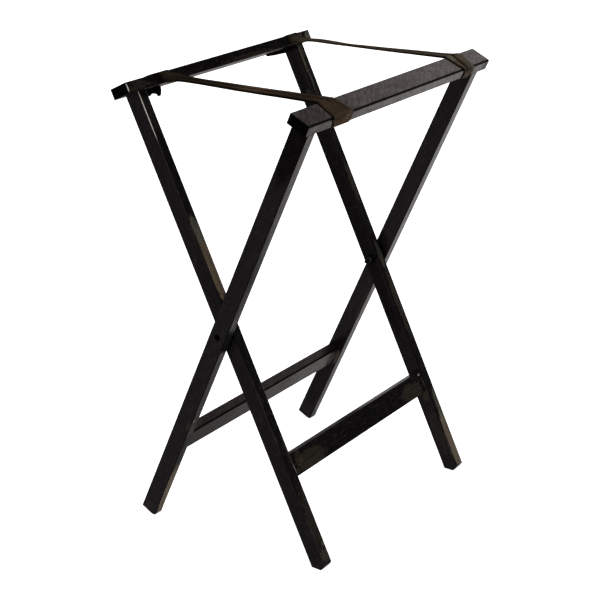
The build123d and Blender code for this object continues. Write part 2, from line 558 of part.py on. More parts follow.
with BuildPart() as far_strap_under_tacks:
    with Locations(*[proud(p) for p in far_under_tacks]):
        Cylinder(tack_head_r, tack_head_h, align=low)
    fillet(far_strap_under_tacks.edges().filter_by(GeomType.CIRCLE).group_by(Axis((0, 0, 0), outer_up))[0], 1.0)
    with Locations(*[proud(p) for p in far_under_tacks]):
        Cylinder(tack_r, shank, align=hang)
    with Locations(*[proud(p).offset(tack_head_h) for p in far_under_tacks]):
        Hole(radius=tack_dimple_r, depth=tack_dimple_deep)
far_strap_under_tacks.part.label = "far_strap_under_tacks"
export_step(far_strap_under_tacks.part, "parts/far_strap_under_tacks.step")

with BuildPart() as near_strap_inner_tacks:
    with Locations(*[proud(p) for p in near_inner_tacks]):
        Cylinder(tack_head_r, tack_head_h, align=low)
    fillet(near_strap_inner_tacks.edges().filter_by(GeomType.CIRCLE).group_by(Axis((0, 0, 0), inner_front))[0], 1.0)
    with Locations(*[proud(p) for p in near_inner_tacks]):
        Cylinder(tack_r, shank, align=hang)
    with Locations(*[proud(p).offset(tack_head_h) for p in near_inner_tacks]):
        Hole(radius=tack_dimple_r, depth=tack_dimple_deep)
near_strap_inner_tacks.part.label = "near_strap_inner_tacks"
export_step(near_strap_inner_tacks.part, "parts/near_strap_inner_tacks.step")

with BuildPart() as far_strap_inner_tacks:
    with Locations(*[proud(p) for p in far_inner_tacks]):
        Cylinder(tack_head_r, tack_head_h, align=low)
    fillet(far_strap_inner_tacks.edges().filter_by(GeomType.CIRCLE).group_by(Axis((0, 0, 0), inner_front))[0], 1.0)
    with Locations(*[proud(p) for p in far_inner_tacks]):
        Cylinder(tack_r, shank, align=hang)
    with Locations(*[proud(p).offset(tack_head_h) for p in far_inner_tacks]):
        Hole(radius=tack_dimple_r, depth=tack_dimple_deep)
far_strap_inner_tacks.part.label = "far_strap_inner_tacks"
export_step(far_strap_inner_tacks.part, "parts/far_strap_inner_tacks.step")

print("middle of the legs at y", mid_y, "height", round(route[4][1] + strap_t / 2, 2), "strap length", round(sum(math.dist(a, b) for a, b in zip(route, route[1:])), 1))
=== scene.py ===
import math

import bpy
from mathutils import Matrix, Vector, noise


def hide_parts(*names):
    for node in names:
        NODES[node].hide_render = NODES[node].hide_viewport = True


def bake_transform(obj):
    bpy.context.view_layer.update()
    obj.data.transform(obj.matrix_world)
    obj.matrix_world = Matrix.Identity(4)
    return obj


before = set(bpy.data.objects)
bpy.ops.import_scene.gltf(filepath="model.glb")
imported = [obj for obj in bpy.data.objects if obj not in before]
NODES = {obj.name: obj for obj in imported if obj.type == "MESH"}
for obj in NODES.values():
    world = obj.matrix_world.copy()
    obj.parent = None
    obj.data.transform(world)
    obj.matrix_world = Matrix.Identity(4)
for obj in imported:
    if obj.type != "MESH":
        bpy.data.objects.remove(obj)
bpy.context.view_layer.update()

# ---------------------------------------------------------------------------------------------
# The stand's own frame, in metres: u runs across the legs, v up the legs from the pivot, y along the rails.
# ---------------------------------------------------------------------------------------------
LEAN = math.radians(25.4)
SN, CS = math.sin(LEAN), math.cos(LEAN)
PIVOT = Vector((0.0, -0.0125, 0.387))
HALF, LEG_T = 0.0156, 0.0187
RAIL_U = 0.0229
OUT_V0, OUT_V1 = 0.4143, 0.4331
IN_V0, IN_V1 = 0.4172, 0.4360
AXES = {
    "outer": (Vector((CS, 0, -SN)), Vector((SN, 0, CS))),
    "inner": (Vector((CS, 0, SN)), Vector((-SN, 0, CS))),
}
Y_AXIS = Vector((0, 1, 0))


def at(side, u, v, y):
    """A point of the outer or inner frame."""
    across, up = AXES[side]
    return PIVOT + across * u + up * v + Y_AXIS * y


# ---------------------------------------------------------------------------------------------
# Node helpers
# ---------------------------------------------------------------------------------------------
class Tree:
    """Short calls for building a shader's nodes; a value may be a number, a tuple or another node's output."""

    def __init__(self, name):
        self.mat = bpy.data.materials.new(name)
        self.mat.use_nodes = True
        self.nodes = self.mat.node_tree.nodes
        self.links = self.mat.node_tree.links
        self.nodes.clear()
        self.out = self.nodes.new("ShaderNodeOutputMaterial")
        self.bsdf = self.nodes.new("ShaderNodeBsdfPrincipled")
        self.links.new(self.bsdf.outputs["BSDF"], self.out.inputs["Surface"])

    def put(self, socket, value):
        if isinstance(value, bpy.types.NodeSocket):
            self.links.new(value, socket)
        elif socket.type == "RGBA" and len(value) == 3:
            socket.default_value = (*value, 1.0)
        else:
            socket.default_value = value

    def math(self, op, a, b=None, c=None, clamp=False):
        n = self.nodes.new("ShaderNodeMath")
        n.operation, n.use_clamp = op, clamp
        for i, v in enumerate((a, b, c)):
            if v is not None:
                self.put(n.inputs[i], v)
        return n.outputs[0]

    def add(self, a, b):
        return self.math("ADD", a, b)

    def sub(self, a, b):
        return self.math("SUBTRACT", a, b)

    def mul(self, a, b):
        return self.math("MULTIPLY", a, b)

    def vec(self, op, a, b=None, scale=None):
        n = self.nodes.new("ShaderNodeVectorMath")
        n.operation = op
        self.put(n.inputs[0], a)
        if b is not None:
            self.put(n.inputs[1], b)
        if scale is not None:
            self.put(n.inputs["Scale"], scale)
        return n.outputs["Value"] if op in ("DOT_PRODUCT", "LENGTH", "DISTANCE") else n.outputs["Vector"]

    def join(self, x, y, z):
        n = self.nodes.new("ShaderNodeCombineXYZ")
        for i, v in enumerate((x, y, z)):
            self.put(n.inputs[i], v)
        return n.outputs[0]

    def split(self, v):
        n = self.nodes.new("ShaderNodeSeparateXYZ")
        self.put(n.inputs[0], v)
        return n.outputs[0], n.outputs[1], n.outputs[2]

    def noise(self, where, scale, detail=3.0, rough=0.55, warp=0.0):
        n = self.nodes.new("ShaderNodeTexNoise")
        self.put(n.inputs["Vector"], where)
        n.inputs["Scale"].default_value = scale
        n.inputs["Detail"].default_value = detail
        n.inputs["Roughness"].default_value = rough
        n.inputs["Distortion"].default_value = warp
        return n.outputs[0]

    def ramp(self, value, a, b, to=(0.0, 1.0), smooth=True):
        n = self.nodes.new("ShaderNodeMapRange")
        n.interpolation_type = "SMOOTHSTEP" if smooth else "LINEAR"
        n.clamp = True
        self.put(n.inputs["Value"], value)
        for key, v in (("From Min", a), ("From Max", b), ("To Min", to[0]), ("To Max", to[1])):
            self.put(n.inputs[key], v)
        return n.outputs["Result"]

    def mix(self, amount, a, b):
        n = self.nodes.new("ShaderNodeMix")
        n.data_type = "RGBA"
        self.put(n.inputs["Factor"], amount)
        self.put(n.inputs["A"] if n.inputs["A"].type == "RGBA" else n.inputs[6], a)
        self.put(n.inputs[7], b)
        return n.outputs[2]

    def bump(self, height, strength, distance, under=None):
        n = self.nodes.new("ShaderNodeBump")
        self.put(n.inputs["Height"], height)
        n.inputs["Strength"].default_value = strength
        n.inputs["Distance"].default_value = distance
        if under is not None:
            self.links.new(under, n.inputs["Normal"])
        return n.outputs[0]

    def coord(self, kind):
        if kind not in [n.label for n in self.nodes]:
            n = self.nodes.new("ShaderNodeTexCoord")
            n.label = kind
        return next(n for n in self.nodes if n.label == kind).outputs[kind]

    def set(self, **values):
        for key, v in values.items():
            self.put(self.bsdf.inputs[key.replace("_", " ")], v)


# ---------------------------------------------------------------------------------------------
# Painted wood: black satin paint over brown wood, rubbed through along the edges
# ---------------------------------------------------------------------------------------------
BROWN = (0.085, 0.058, 0.035)
DARK_BROWN = (0.044, 0.031, 0.020)
RED_BROWN = (0.080, 0.040, 0.027)
OLIVE = (0.074, 0.070, 0.047)
GOLD = (0.130, 0.104, 0.052)
GREEN_GREY = (0.120, 0.121, 0.088)
# pale dusty colour, used for dust at the feet and as painted reflected light
DUST_AND_REFLECTED_LIGHT = (0.210, 0.168, 0.122)
PALE = (0.620, 0.570, 0.490)
# near-black, for dull dark places and for painted shade in recesses, at joints and under the rail
SOOT_AND_SHADE = (0.0060, 0.0052, 0.0055)
# near-white, for pale chips and for painted highlight lines along lit edges
CHALK_AND_HIGHLIGHT = (0.92, 0.87, 0.80)
TAN = (0.235, 0.176, 0.120)
STRAW = (0.44, 0.345, 0.25)
GREY_BROWN = (0.060, 0.050, 0.037)
# light grey used as painted reflection on glossy front faces
REFLECTION_GREY = (0.175, 0.168, 0.163)


def local(t, side):
    """(u, v, y) of the shaded point in its frame, in millimetres, from the piece's own coordinates."""
    across, up = AXES[side]
    p = t.vec("SUBTRACT", t.coord("Object"), tuple(PIVOT))
    u = t.vec("DOT_PRODUCT", p, tuple(across * 1000))
    v = t.vec("DOT_PRODUCT", p, tuple(up * 1000))
    y = t.vec("DOT_PRODUCT", p, (0, 1000, 0))
    return u, v, y


def painted(name, side, box, along, seed, spots=(), rub=1.0, rough=0.22, tone=1.0, scuff=1.0, spec=0.5, hue=(0.0, 0.0, 0.0), mottle=1.0, smudge=0.0):
    """box is ((u0, u1), (v0, v1), (y0, y1)) in mm, along the axis that the grain follows, "v" or "y"."""
    t = Tree(name)
    u, v, y = local(t, side)
    (u0, u1), (v0, v1), (y0, y1) = box

    def inset(w, a, b):
        return t.sub((b - a) / 2, t.math("ABSOLUTE", t.sub(w, (a + b) / 2)))

    def stretch(k):
        """Coordinates drawn out along the grain."""
        return t.vec("MULTIPLY", where, {"v": (1.0, k, 1.0), "y": (1.0, 1.0, k)}[along])

    du, dv, dy = inset(u, u0, u1), inset(v, v0, v1), inset(y, y0, y1)
    edge = t.math("MAXIMUM", t.math("MINIMUM", du, dv), t.math("MINIMUM", t.math("MAXIMUM", du, dv), dy))
    where = t.vec("ADD", t.join(u, v, y), (seed * 37.0, seed * 91.0, seed * 53.0))
    # fine grain and brush marks along the length, slow waviness of the planed faces, dull and glossy patches
    grain = t.noise(stretch(0.07), 0.85, 4.0, 0.6)
    streak = t.noise(stretch(0.05), 0.32, 3.0, 0.5)
    wave = t.noise(stretch(0.35), 0.050, 2.0, 0.5)
    ripple = t.noise(stretch(0.5), 0.21, 2.0, 0.5)
    patch = t.noise(where, 0.030, 4.0, 0.6)
    smear = t.noise(stretch(0.45), 0.10, 4.0, 0.65, 0.7)
    speck = t.noise(where, 0.42, 3.0, 0.7)
    # paint rubbed off along the edges, in long runs
    reach = t.mul(t.math("MAXIMUM", t.sub(t.noise(stretch(0.10), 0.20, 4.0, 0.6), 0.50), 0.0), rub * 7.0)
    rubbed = t.mul(t.ramp(t.sub(edge, reach), 0.25, -0.45), t.ramp(patch, 0.40, 0.58, (0.15, 0.9)))
    # thin scratches and flecks
    scratch = t.mul(t.ramp(t.noise(stretch(0.16), 0.55, 2.0, 0.5, 0.6), 0.66, 0.74), 0.30 * scuff)
    fleck = t.mul(t.ramp(speck, 0.68, 0.80), 0.28 * scuff)
    worn = t.math("MAXIMUM", rubbed, t.math("MAXIMUM", scratch, fleck))
    base = t.mix(patch, tuple(c * tone + h for c, h in zip((0.0030, 0.0025, 0.0028), hue)), tuple(c * tone + h for c, h in zip((0.0064, 0.0055, 0.0057), hue)))
    # cloudy, slightly purple and green places where the coat is thin
    cloud = t.noise(t.vec("ADD", stretch(0.3), (3.1, 8.7, 5.3)), 0.26, 5.0, 0.7, 0.4)
    base = t.mix(t.mul(t.ramp(cloud, 0.46, 0.72), 0.8 * mottle), base, (0.034, 0.022, 0.027))
    moss = t.noise(t.vec("ADD", where, (41.0, 13.0, 7.0)), 0.11, 5.0, 0.7)
    base = t.mix(t.mul(t.ramp(moss, 0.54, 0.74), 0.6 * mottle), base, (0.014, 0.020, 0.013))
    if smudge:
        # wiped smudges, drawn out slantwise
        slant = t.join(t.mul(t.add(u, t.mul(y, 0.75)), 0.42), t.mul(t.sub(t.mul(u, 0.75), y), 0.10), t.mul(v, 0.2))
        wipe = t.noise(t.vec("ADD", slant, (seed * 5.0, 2.0, 1.0)), 0.42, 5.0, 0.65, 0.5)
        base = t.mix(t.mul(t.ramp(wipe, 0.42, 0.70), smudge), base, (0.075, 0.058, 0.056))
        wiped = t.ramp(wipe, 0.36, 0.66, (1.0 - 1.4 * smudge, 1.0))
    wood = t.mix(t.ramp(streak, 0.35, 0.65), tuple(c * 0.55 for c in BROWN), BROWN)
    colour = t.mix(t.mul(worn, 0.75), base, wood)
    roughness = t.add(t.ramp(grain, 0.3, 0.7, (rough - 0.04, rough + 0.05)), t.mul(worn, 0.20))
    roughness = t.add(roughness, t.ramp(smear, 0.46, 0.74, (0.0, 0.13 * scuff)))
    # worn and dull places, and painted shade, highlights and reflections: (u, v, y), (radius u, v, y), colour,
    # strength, how broken up, how dull, and optionally how much less shine
    shine = None
    dapple = t.ramp(t.add(t.mul(streak, 0.45), t.mul(t.noise(stretch(0.55), 0.60, 3.0, 0.7), 0.55)), 0.38, 0.62)
    for k, (centre, radius, tint, strength, broken, dull, *matt) in enumerate(spots):
        d = t.vec("MULTIPLY", t.vec("SUBTRACT", t.join(u, v, y), centre), tuple(1.0 / r for r in radius))
        near = t.ramp(t.vec("LENGTH", d), 1.0, 0.2)
        torn = t.noise(t.vec("ADD", stretch(0.35), (17.0 * k, 5.0 * k, 29.0 * k)), 0.26, 4.0, 0.65)
        show = t.ramp(t.add(t.mul(near, 0.62), t.mul(t.sub(torn, 0.5), broken)), 0.20, 0.46)
        amount = t.mul(show, t.ramp(near, 0.0, 0.35))
        colour = t.mix(t.mul(amount, strength), colour, t.mix(dapple, tuple(c * 0.45 for c in tint), tuple(min(1.0, c * 1.12) for c in tint)))
        roughness = t.add(roughness, t.mul(amount, dull))
        if matt:
            less = t.ramp(amount, 0.0, 1.0, (1.0, 1.0 - matt[0]), False)
            shine = less if shine is None else t.mul(shine, less)
    t.set(Base_Color=colour, Roughness=t.math("MINIMUM", roughness, 0.85))
    if smudge:
        shine = wiped if shine is None else t.mul(shine, wiped)
    if shine is None:
        t.bsdf.inputs["Specular IOR Level"].default_value = spec
    else:
        t.links.new(t.mul(shine, spec), t.bsdf.inputs["Specular IOR Level"])
    relief = t.add(t.mul(grain, 0.35), t.mul(worn, -0.6))
    n = t.bump(wave, 1.0, 0.00060)
    n = t.bump(ripple, 0.5, 0.00010, n)
    n = t.bump(relief, 0.45, 0.00012, n)
    t.links.new(n, t.bsdf.inputs["Normal"])
    return t.mat


def end_grain(name, side, seed):
    """Sawn rail ends: thick paint soaked into the end grain, flat black."""
    t = Tree(name)
    u, v, y = local(t, side)
    where = t.vec("ADD", t.join(u, v, y), (seed * 11.0, seed * 29.0, seed * 7.0))
    pore = t.noise(where, 1.1, 3.0, 0.6)
    ring = t.noise(t.vec("MULTIPLY", where, (0.25, 1.0, 1.0)), 0.35, 3.0, 0.6, 0.8)
    t.set(Base_Color=t.mix(t.ramp(ring, 0.4, 0.7), (0.0004, 0.0003, 0.0003), (0.0022, 0.0019, 0.0017)),
          Roughness=t.ramp(pore, 0.3, 0.7, (0.55, 0.8)))
    t.bsdf.inputs["Specular IOR Level"].default_value = 0.03
    t.links.new(t.bump(t.add(pore, t.mul(ring, 0.6)), 0.6, 0.0003), t.bsdf.inputs["Normal"])
    return t.mat


def dark_edge(name, side, seed):
    """An eased edge, dull and dark, for the dark lines along the edges."""
    t = Tree(name)
    u, v, y = local(t, side)
    where = t.vec("ADD", t.vec("MULTIPLY", t.join(u, v, y), (1.0, 1.0, 0.25)), (seed * 13.0, seed * 3.0, seed * 17.0))
    wear = t.noise(where, 0.30, 4.0, 0.65)
    t.set(Base_Color=t.mix(t.ramp(wear, 0.52, 0.74), (0.0012, 0.0009, 0.0008), (0.014, 0.009, 0.006)), Roughness=t.ramp(wear, 0.3, 0.7, (0.45, 0.65)))
    t.bsdf.inputs["Specular IOR Level"].default_value = 0.06
    t.links.new(t.bump(wear, 0.4, 0.0002), t.bsdf.inputs["Normal"])
    return t.mat


def metal(name, dark, light, rough, scale=900.0):
    """Blackened steel, rubbed bright in places."""
    t = Tree(name)
    where = t.coord("Object")
    rub = t.noise(where, scale * 0.35, 4.0, 0.6)
    fine = t.noise(where, scale, 3.0, 0.6)
    t.set(Base_Color=t.mix(t.ramp(rub, 0.42, 0.68), dark, light), Roughness=t.ramp(fine, 0.3, 0.7, (rough - 0.08, rough + 0.12)))
    t.bsdf.inputs["Metallic"].default_value = 1.0
    t.links.new(t.bump(fine, 0.25, 0.0001), t.bsdf.inputs["Normal"])
    return t.mat


def plastic(name):
    t = Tree(name)
    where = t.coord("Object")
    fine = t.noise(where, 1500.0, 3.0, 0.6)
    t.set(Base_Color=t.mix(t.noise(where, 180.0, 3.0, 0.6), (0.006, 0.006, 0.0062), (0.016, 0.015, 0.015)), Roughness=t.ramp(fine, 0.3, 0.7, (0.4, 0.6)))
    t.links.new(t.bump(fine, 0.3, 0.0001), t.bsdf.inputs["Normal"])
    return t.mat


def bare_wood(name):
    t = Tree(name)
    p = t.vec("SUBTRACT", t.coord("Object"), tuple(PIVOT))
    grain = t.noise(t.vec("MULTIPLY", p, (900.0, 250.0, 250.0)), 1.0, 4.0, 0.6)
    t.set(Base_Color=t.mix(grain, (0.30, 0.19, 0.10), (0.55, 0.39, 0.23)), Roughness=t.ramp(grain, 0.3, 0.7, (0.6, 0.8)))
    t.links.new(t.bump(grain, 0.4, 0.0002), t.bsdf.inputs["Normal"])
    return t.mat


def give(node, material):
    o = NODES[node]
    o.data.materials.clear()
    o.data.materials.append(material)
    return o


LEG_BOX = {
    "outer_leg_near": ("outer", ((-15.6, 15.6), (-423.5, 414.3), (-243.8, -225.1))),
    "outer_leg_far": ("outer", ((-15.6, 15.6), (-423.5, 414.3), (225.1, 243.8))),
    "inner_leg_near": ("inner", ((-15.6, 15.6), (-427.0, 417.2), (-220.7, -202.0))),
    "inner_leg_far": ("inner", ((-15.6, 15.6), (-427.0, 417.2), (202.0, 220.7))),
}
BAR_BOX = {
    "outer_top_rail": ("outer", ((-22.9, 15.6), (414.3, 433.1), (-249.5, 271.0))),
    "inner_top_rail": ("inner", ((-15.6, 22.9), (417.2, 436.0), (-247.5, 241.5))),
    "outer_stretcher": ("outer", ((-12.1, 6.6), (-273.4, -232.7), (-225.1, 225.1))),
    "inner_stretcher": ("inner", ((-9.35, 9.35), (-268.9, -228.8), (-202.0, 202.0))),
}
# worn places of each piece, and painted shade, highlights and reflections: centre and radius in (u, v, y) mm, colour,
# strength, how broken up, how dull, and optionally how much less shine
SPOTS = {
    "inner_top_rail": [
        ((22.9, 427, -222), (12, 14, 40), OLIVE, 0.22, 2.0, 0.12),
        # painted highlight: a light line on the near end's inside corner, where the chamfer catches the light
        ((22.9, 427, -247.0), (2.6, 12, 2.6), CHALK_AND_HIGHLIGHT, 1.0, 0.15, 0.2),
        ((22.9, 431, 214), (8, 6, 8), RED_BROWN, 0.9, 0.4, 0.2),
        ((22.9, 427, 234), (8, 13, 13), GREEN_GREY, 0.85, 0.4, 0.25),
        ((22.9, 422, 196), (6, 9, 24), OLIVE, 0.5, 1.0, 0.15),
        ((22.9, 420, 60), (6, 9, 120), DARK_BROWN, 0.35, 1.6, 0.10),
        ((-15.6, 428, -225), (8, 12, 30), OLIVE, 0.5, 1.2, 0.2),
    ],
    "outer_top_rail": [
        ((-4, 433.1, -235), (46, 8, 80), SOOT_AND_SHADE, 0.3, 0.1, 0.10, 0.64),
        ((-4, 433.1, 271.0), (60, 4, 2.6), SOOT_AND_SHADE, 0.9, 0.2, 0.15, 0.85),
        ((15.6, 423, 266), (6, 16, 24), GREEN_GREY, 0.30, 0.6, 0.15, 0.25),
        ((-2, 433.1, 16), (16, 5, 46), DARK_BROWN, 0.4, 1.0, 0.06, 0.25),
        ((0, 433.1, -131), (30, 5, 14), SOOT_AND_SHADE, 0.3, 0.3, 0.05, 0.38),
        ((15.6, 424, 229), (5, 12, 9), SOOT_AND_SHADE, 0.4, 0.3, 0.05, 0.45),
        # painted reflection: a lighter strip along the rail's front face
        ((15.6, 424, 40), (3, 14, 200), REFLECTION_GREY, 0.22, 0.7, 0.0),
    ],
    "inner_leg_near": [
        # painted highlight: the bright line down the front-right edge near the top
        ((15.6, 380, -220.7), (2.1, 84, 2.1), CHALK_AND_HIGHLIGHT, 1.0, 0.12, 0.2),
        # painted highlight: the lit edge beside the stretcher
        ((15.6, -252, -202.0), (2.4, 22, 2.4), CHALK_AND_HIGHLIGHT, 0.6, 0.3, 0.2),
        ((15.6, 95, -202.0), (2.6, 330, 2.6), SOOT_AND_SHADE, 0.95, 0.2, 0.1, 0.85),
        ((15.6, -355, -202.0), (2.6, 80, 2.6), SOOT_AND_SHADE, 0.95, 0.2, 0.1, 0.85),
        ((15.6, 385, -212), (4, 42, 9), OLIVE, 0.16, 2.6, 0.06, 0.45),
        ((15.6, 112, -211.5), (5, 106, 18), TAN, 0.80, 0.9, 0.15),
        ((15.6, 176, -211.5), (5, 40, 16), GREEN_GREY, 0.75, 1.2, 0.12),
        ((15.6, 60, -220.7), (2.6, 270, 2.6), SOOT_AND_SHADE, 0.95, 0.2, 0.1, 0.85),
        ((15.6, -280, -220.7), (2.6, 130, 2.6), SOOT_AND_SHADE, 0.95, 0.2, 0.1, 0.85),
        ((15.6, 290, -211), (4, 85, 10), SOOT_AND_SHADE, 0.6, 0.4, 0.10, 0.6),
        ((15.6, -345, -211), (5, 105, 17), GREY_BROWN, 0.40, 1.8, 0.10),
        ((15.6, -408, -211), (5, 24, 14), DUST_AND_REFLECTED_LIGHT, 0.18, 1.8, 0.15),
        ((15.6, -388, -206), (4, 7, 5), DUST_AND_REFLECTED_LIGHT, 0.5, 0.6, 0.15),
        ((15.6, -215, -205), (4, 40, 5), OLIVE, 0.45, 1.2, 0.1),
    ],
    "inner_leg_far": [
        ((15.6, 402, 211), (4, 22, 9), DARK_BROWN, 0.6, 0.8, 0.15),
        ((15.6, 390, 205), (4, 52, 5.5), GOLD, 0.6, 1.3, 0.12),
        ((15.6, 350, 208.5), (4, 58, 4.5), GREEN_GREY, 0.40, 2.0, 0.15),
        ((15.6, 290, 213), (4, 95, 9), SOOT_AND_SHADE, 0.6, 0.4, 0.10, 0.6),
        ((15.6, 350, 220.7), (3.2, 130, 3.6), SOOT_AND_SHADE, 0.9, 0.2, 0.1, 0.8),
        ((2, 325, 202.0), (10, 15, 3), OLIVE, 0.6, 0.8, 0.2),
        ((15.6, 150, 212), (4, 70, 10), DARK_BROWN, 0.6, 1.3, 0.12),
        ((15.6, 2, 212), (4, 50, 9), GREEN_GREY, 0.50, 1.0, 0.12),
        ((15.6, -302, 214.5), (5, 60, 10), GREEN_GREY, 0.75, 0.9, 0.2),
        ((15.6, -378, 212.5), (5, 95, 24), STRAW, 0.44, 0.9, 0.15),
        ((15.6, -330, 202.0), (2.4, 85, 2.4), SOOT_AND_SHADE, 0.9, 0.2, 0.1, 0.8),
        ((6, -262, 202.0), (16, 44, 4), OLIVE, 0.55, 1.4, 0.1),
        ((10, -250, 202.0), (5, 15, 4), GREEN_GREY, 0.6, 1.0, 0.1),
        ((2, -350, 202.0), (20, 75, 4), DARK_BROWN, 0.45, 1.6, 0.08),
        ((15.6, -90, 212), (4, 110, 12), DARK_BROWN, 0.6, 1.2, 0.12),
        ((-2, 120, 202.0), (26, 470, 4), SOOT_AND_SHADE, 0.3, 0.0, 0.0, 0.58),
    ],
    "outer_leg_near": [
        # painted shade: dark and dull round the pivot recess
        ((0, 0, -243.8), (6.8, 6.8, 14), SOOT_AND_SHADE, 1.0, 0.0, 0.3),
        ((15.6, -360, -234), (5, 110, 16), STRAW, 0.9, 0.5, 0.0),
        ((15.6, -185, -238), (3, 5, 3), CHALK_AND_HIGHLIGHT, 0.5, 0.9, 0.1),
        ((15.6, -208, -235), (4, 18, 11), TAN, 0.35, 0.9, 0.1),
        ((15.6, -120, -234), (4, 60, 12), DARK_BROWN, 0.4, 1.0, 0.10),
        ((0, -410, -243.8), (17, 14, 4), BROWN, 0.2, 0.8, 0.1),
        # painted shade: the face darker and duller at the top, under the rail
        ((0, 400, -243.8), (32, 150, 5), SOOT_AND_SHADE, 0.5, 0.0, 0.0, 0.85),
        ((11.5, -198, -243.8), (6, 18, 4), BROWN, 0.5, 0.9, 0.1),
    ],
    "outer_leg_far": [
        ((15.6, -330, 234), (4, 80, 12), DARK_BROWN, 0.6, 0.9, 0.05),
        ((15.6, -70, 234), (4, 70, 12), DARK_BROWN, 0.4, 1.1, 0.08),
        # painted shade where the outer stretcher meets the leg
        ((12, -235, 225.1), (6, 30, 4), SOOT_AND_SHADE, 0.5, 0.3, 0.1, 0.7),
        ((13, -115, 225.1), (5, 75, 4), RED_BROWN, 0.5, 1.4, 0.08),
        ((0, -402, 225.1), (16, 26, 4), DARK_BROWN, 0.2, 1.2, 0.06),
        ((15.6, -416, 234), (5, 26, 14), BROWN, 0.5, 0.6, 0.1, 0.55),
        # painted reflected light: the leg's face made lighter beside the stretcher's front
        ((11, -254, 225.1), (6, 28, 4), DUST_AND_REFLECTED_LIGHT, 0.62, 0.5, 0.05),
        ((15.6, 415, 234), (5, 70, 14), SOOT_AND_SHADE, 0.2, 0.3, 0.0, 0.28),
        ((-2, -330, 225.1), (26, 130, 4), SOOT_AND_SHADE, 0.3, 0.2, 0.0, 0.35),
    ],
    "inner_stretcher": [
        ((9.35, -256, -150), (5, 30, 66), GREY_BROWN, 0.60, 0.9, 0.06),
        ((9.35, -257, 162), (5, 30, 54), GREY_BROWN, 0.60, 0.9, 0.06),
        ((9.35, -243, -179), (5, 24, 15), BROWN, 0.42, 0.8, 0.06),
        ((9.35, -262, -192), (4, 12, 9), OLIVE, 0.40, 0.9, 0.06),
        ((9.35, -234, 199), (3, 4, 4), CHALK_AND_HIGHLIGHT, 0.6, 0.4, 0.2),
    ],
    "outer_stretcher": [
        ((6.6, -253, -60), (4, 20, 60), DARK_BROWN, 0.5, 1.1, 0.05),
        ((6.6, -250, 64), (4, 22, 34), DARK_BROWN, 0.5, 0.9, 0.05, 0.3),
        ((6.6, -256, -175), (4, 24, 62), BROWN, 0.30, 1.0, 0.0),
        ((6.6, -250, -216), (5, 22, 11), TAN, 0.55, 0.9, 0.10),
        # painted reflection: the stretcher's front lighter at its far end, where the leg blocks the backdrop's
        # reflection
        ((6.6, -256, 216), (4, 26, 14), REFLECTION_GREY, 0.85, 0.4, 0.0),
        # painted shade on the stretcher's top where it meets the far outer leg
        ((-2, -232.7, 205), (16, 5, 40), SOOT_AND_SHADE, 0.5, 0.2, 0.1, 0.6),
    ],
}
# how each piece's coat differs from the rest
COAT = {
    "outer_top_rail": dict(hue=(0.012, 0.001, 0.002), smudge=0.42, spec=0.53),
    "outer_leg_far": dict(spec=0.62),
    "outer_stretcher": dict(hue=(0.006, 0.0005, 0.0005)),
    "inner_top_rail": dict(rough=0.15, spec=0.20, scuff=0.6, rub=0.8, tone=0.75),
    "inner_leg_near": dict(rough=0.15, spec=0.40, rub=0.8),
    "inner_leg_far": dict(rough=0.18, spec=0.42, rub=0.5),
    "inner_stretcher": dict(rough=0.15, spec=0.28, scuff=0.3),
}
for i, (node, (side, box)) in enumerate({**LEG_BOX, **BAR_BOX}.items()):
    along = "v" if node in LEG_BOX else "y"
    o = give(node, painted("paint_" + node, side, box, along, i + 1.0, SPOTS.get(node, ()), **COAT.get(node, {})))
    across, up = AXES[side]
    if "top_rail" in node:
        o.data.materials.append(end_grain("end_" + node, side, i + 1.0))
        for f in o.data.polygons:
            if abs(f.normal.y) > 0.95 and min(abs(f.center.y - PIVOT.y - box[2][k] / 1000) for k in (0, 1)) < 0.0005:
                f.material_index = 1
    if node in ("outer_top_rail", "outer_stretcher"):
        o.data.materials.append(dark_edge("edge_" + node, side, i + 1.0))
        for f in o.data.polygons:
            a, b = f.normal.dot(across), f.normal.dot(up)
            eased = max(abs(a), abs(b), abs(f.normal.y)) < 0.985
            if eased and (node == "outer_top_rail" or (a > 0.1 and b > 0.1)) and (f.center - PIVOT).dot(up) > box[1][0] / 1000 - 0.0001:
                f.material_index = len(o.data.materials) - 1
    if node in LEG_BOX:
        o.data.materials.append(dark_edge("edge_" + node, side, i + 1.0))
        for f in o.data.polygons:
            p = f.center - PIVOT
            eased = abs(f.normal.dot(up)) < 0.2 and max(abs(f.normal.dot(across)), abs(f.normal.y)) < 0.985
            # the near inner leg's right-side edges keep the paint, so the painted highlight lines and dark spots on
            # them show
            highlight_edges = node == "inner_leg_near" and p.dot(across) > 0.0
            if eased and not highlight_edges and math.hypot(p.x, p.z) > 0.010:
                f.material_index = 1
    if node in ("outer_leg_near", "outer_leg_far"):
        # the bolt recess: its walls get the flat black end-grain finish as painted shade, so the hole reads dark
        o.data.materials.append(end_grain("recess_" + node, side, i + 1.0))
        for f in o.data.polygons:
            p = f.center - PIVOT
            if math.hypot(p.x, p.z) < 0.0058:
                f.material_index = 2

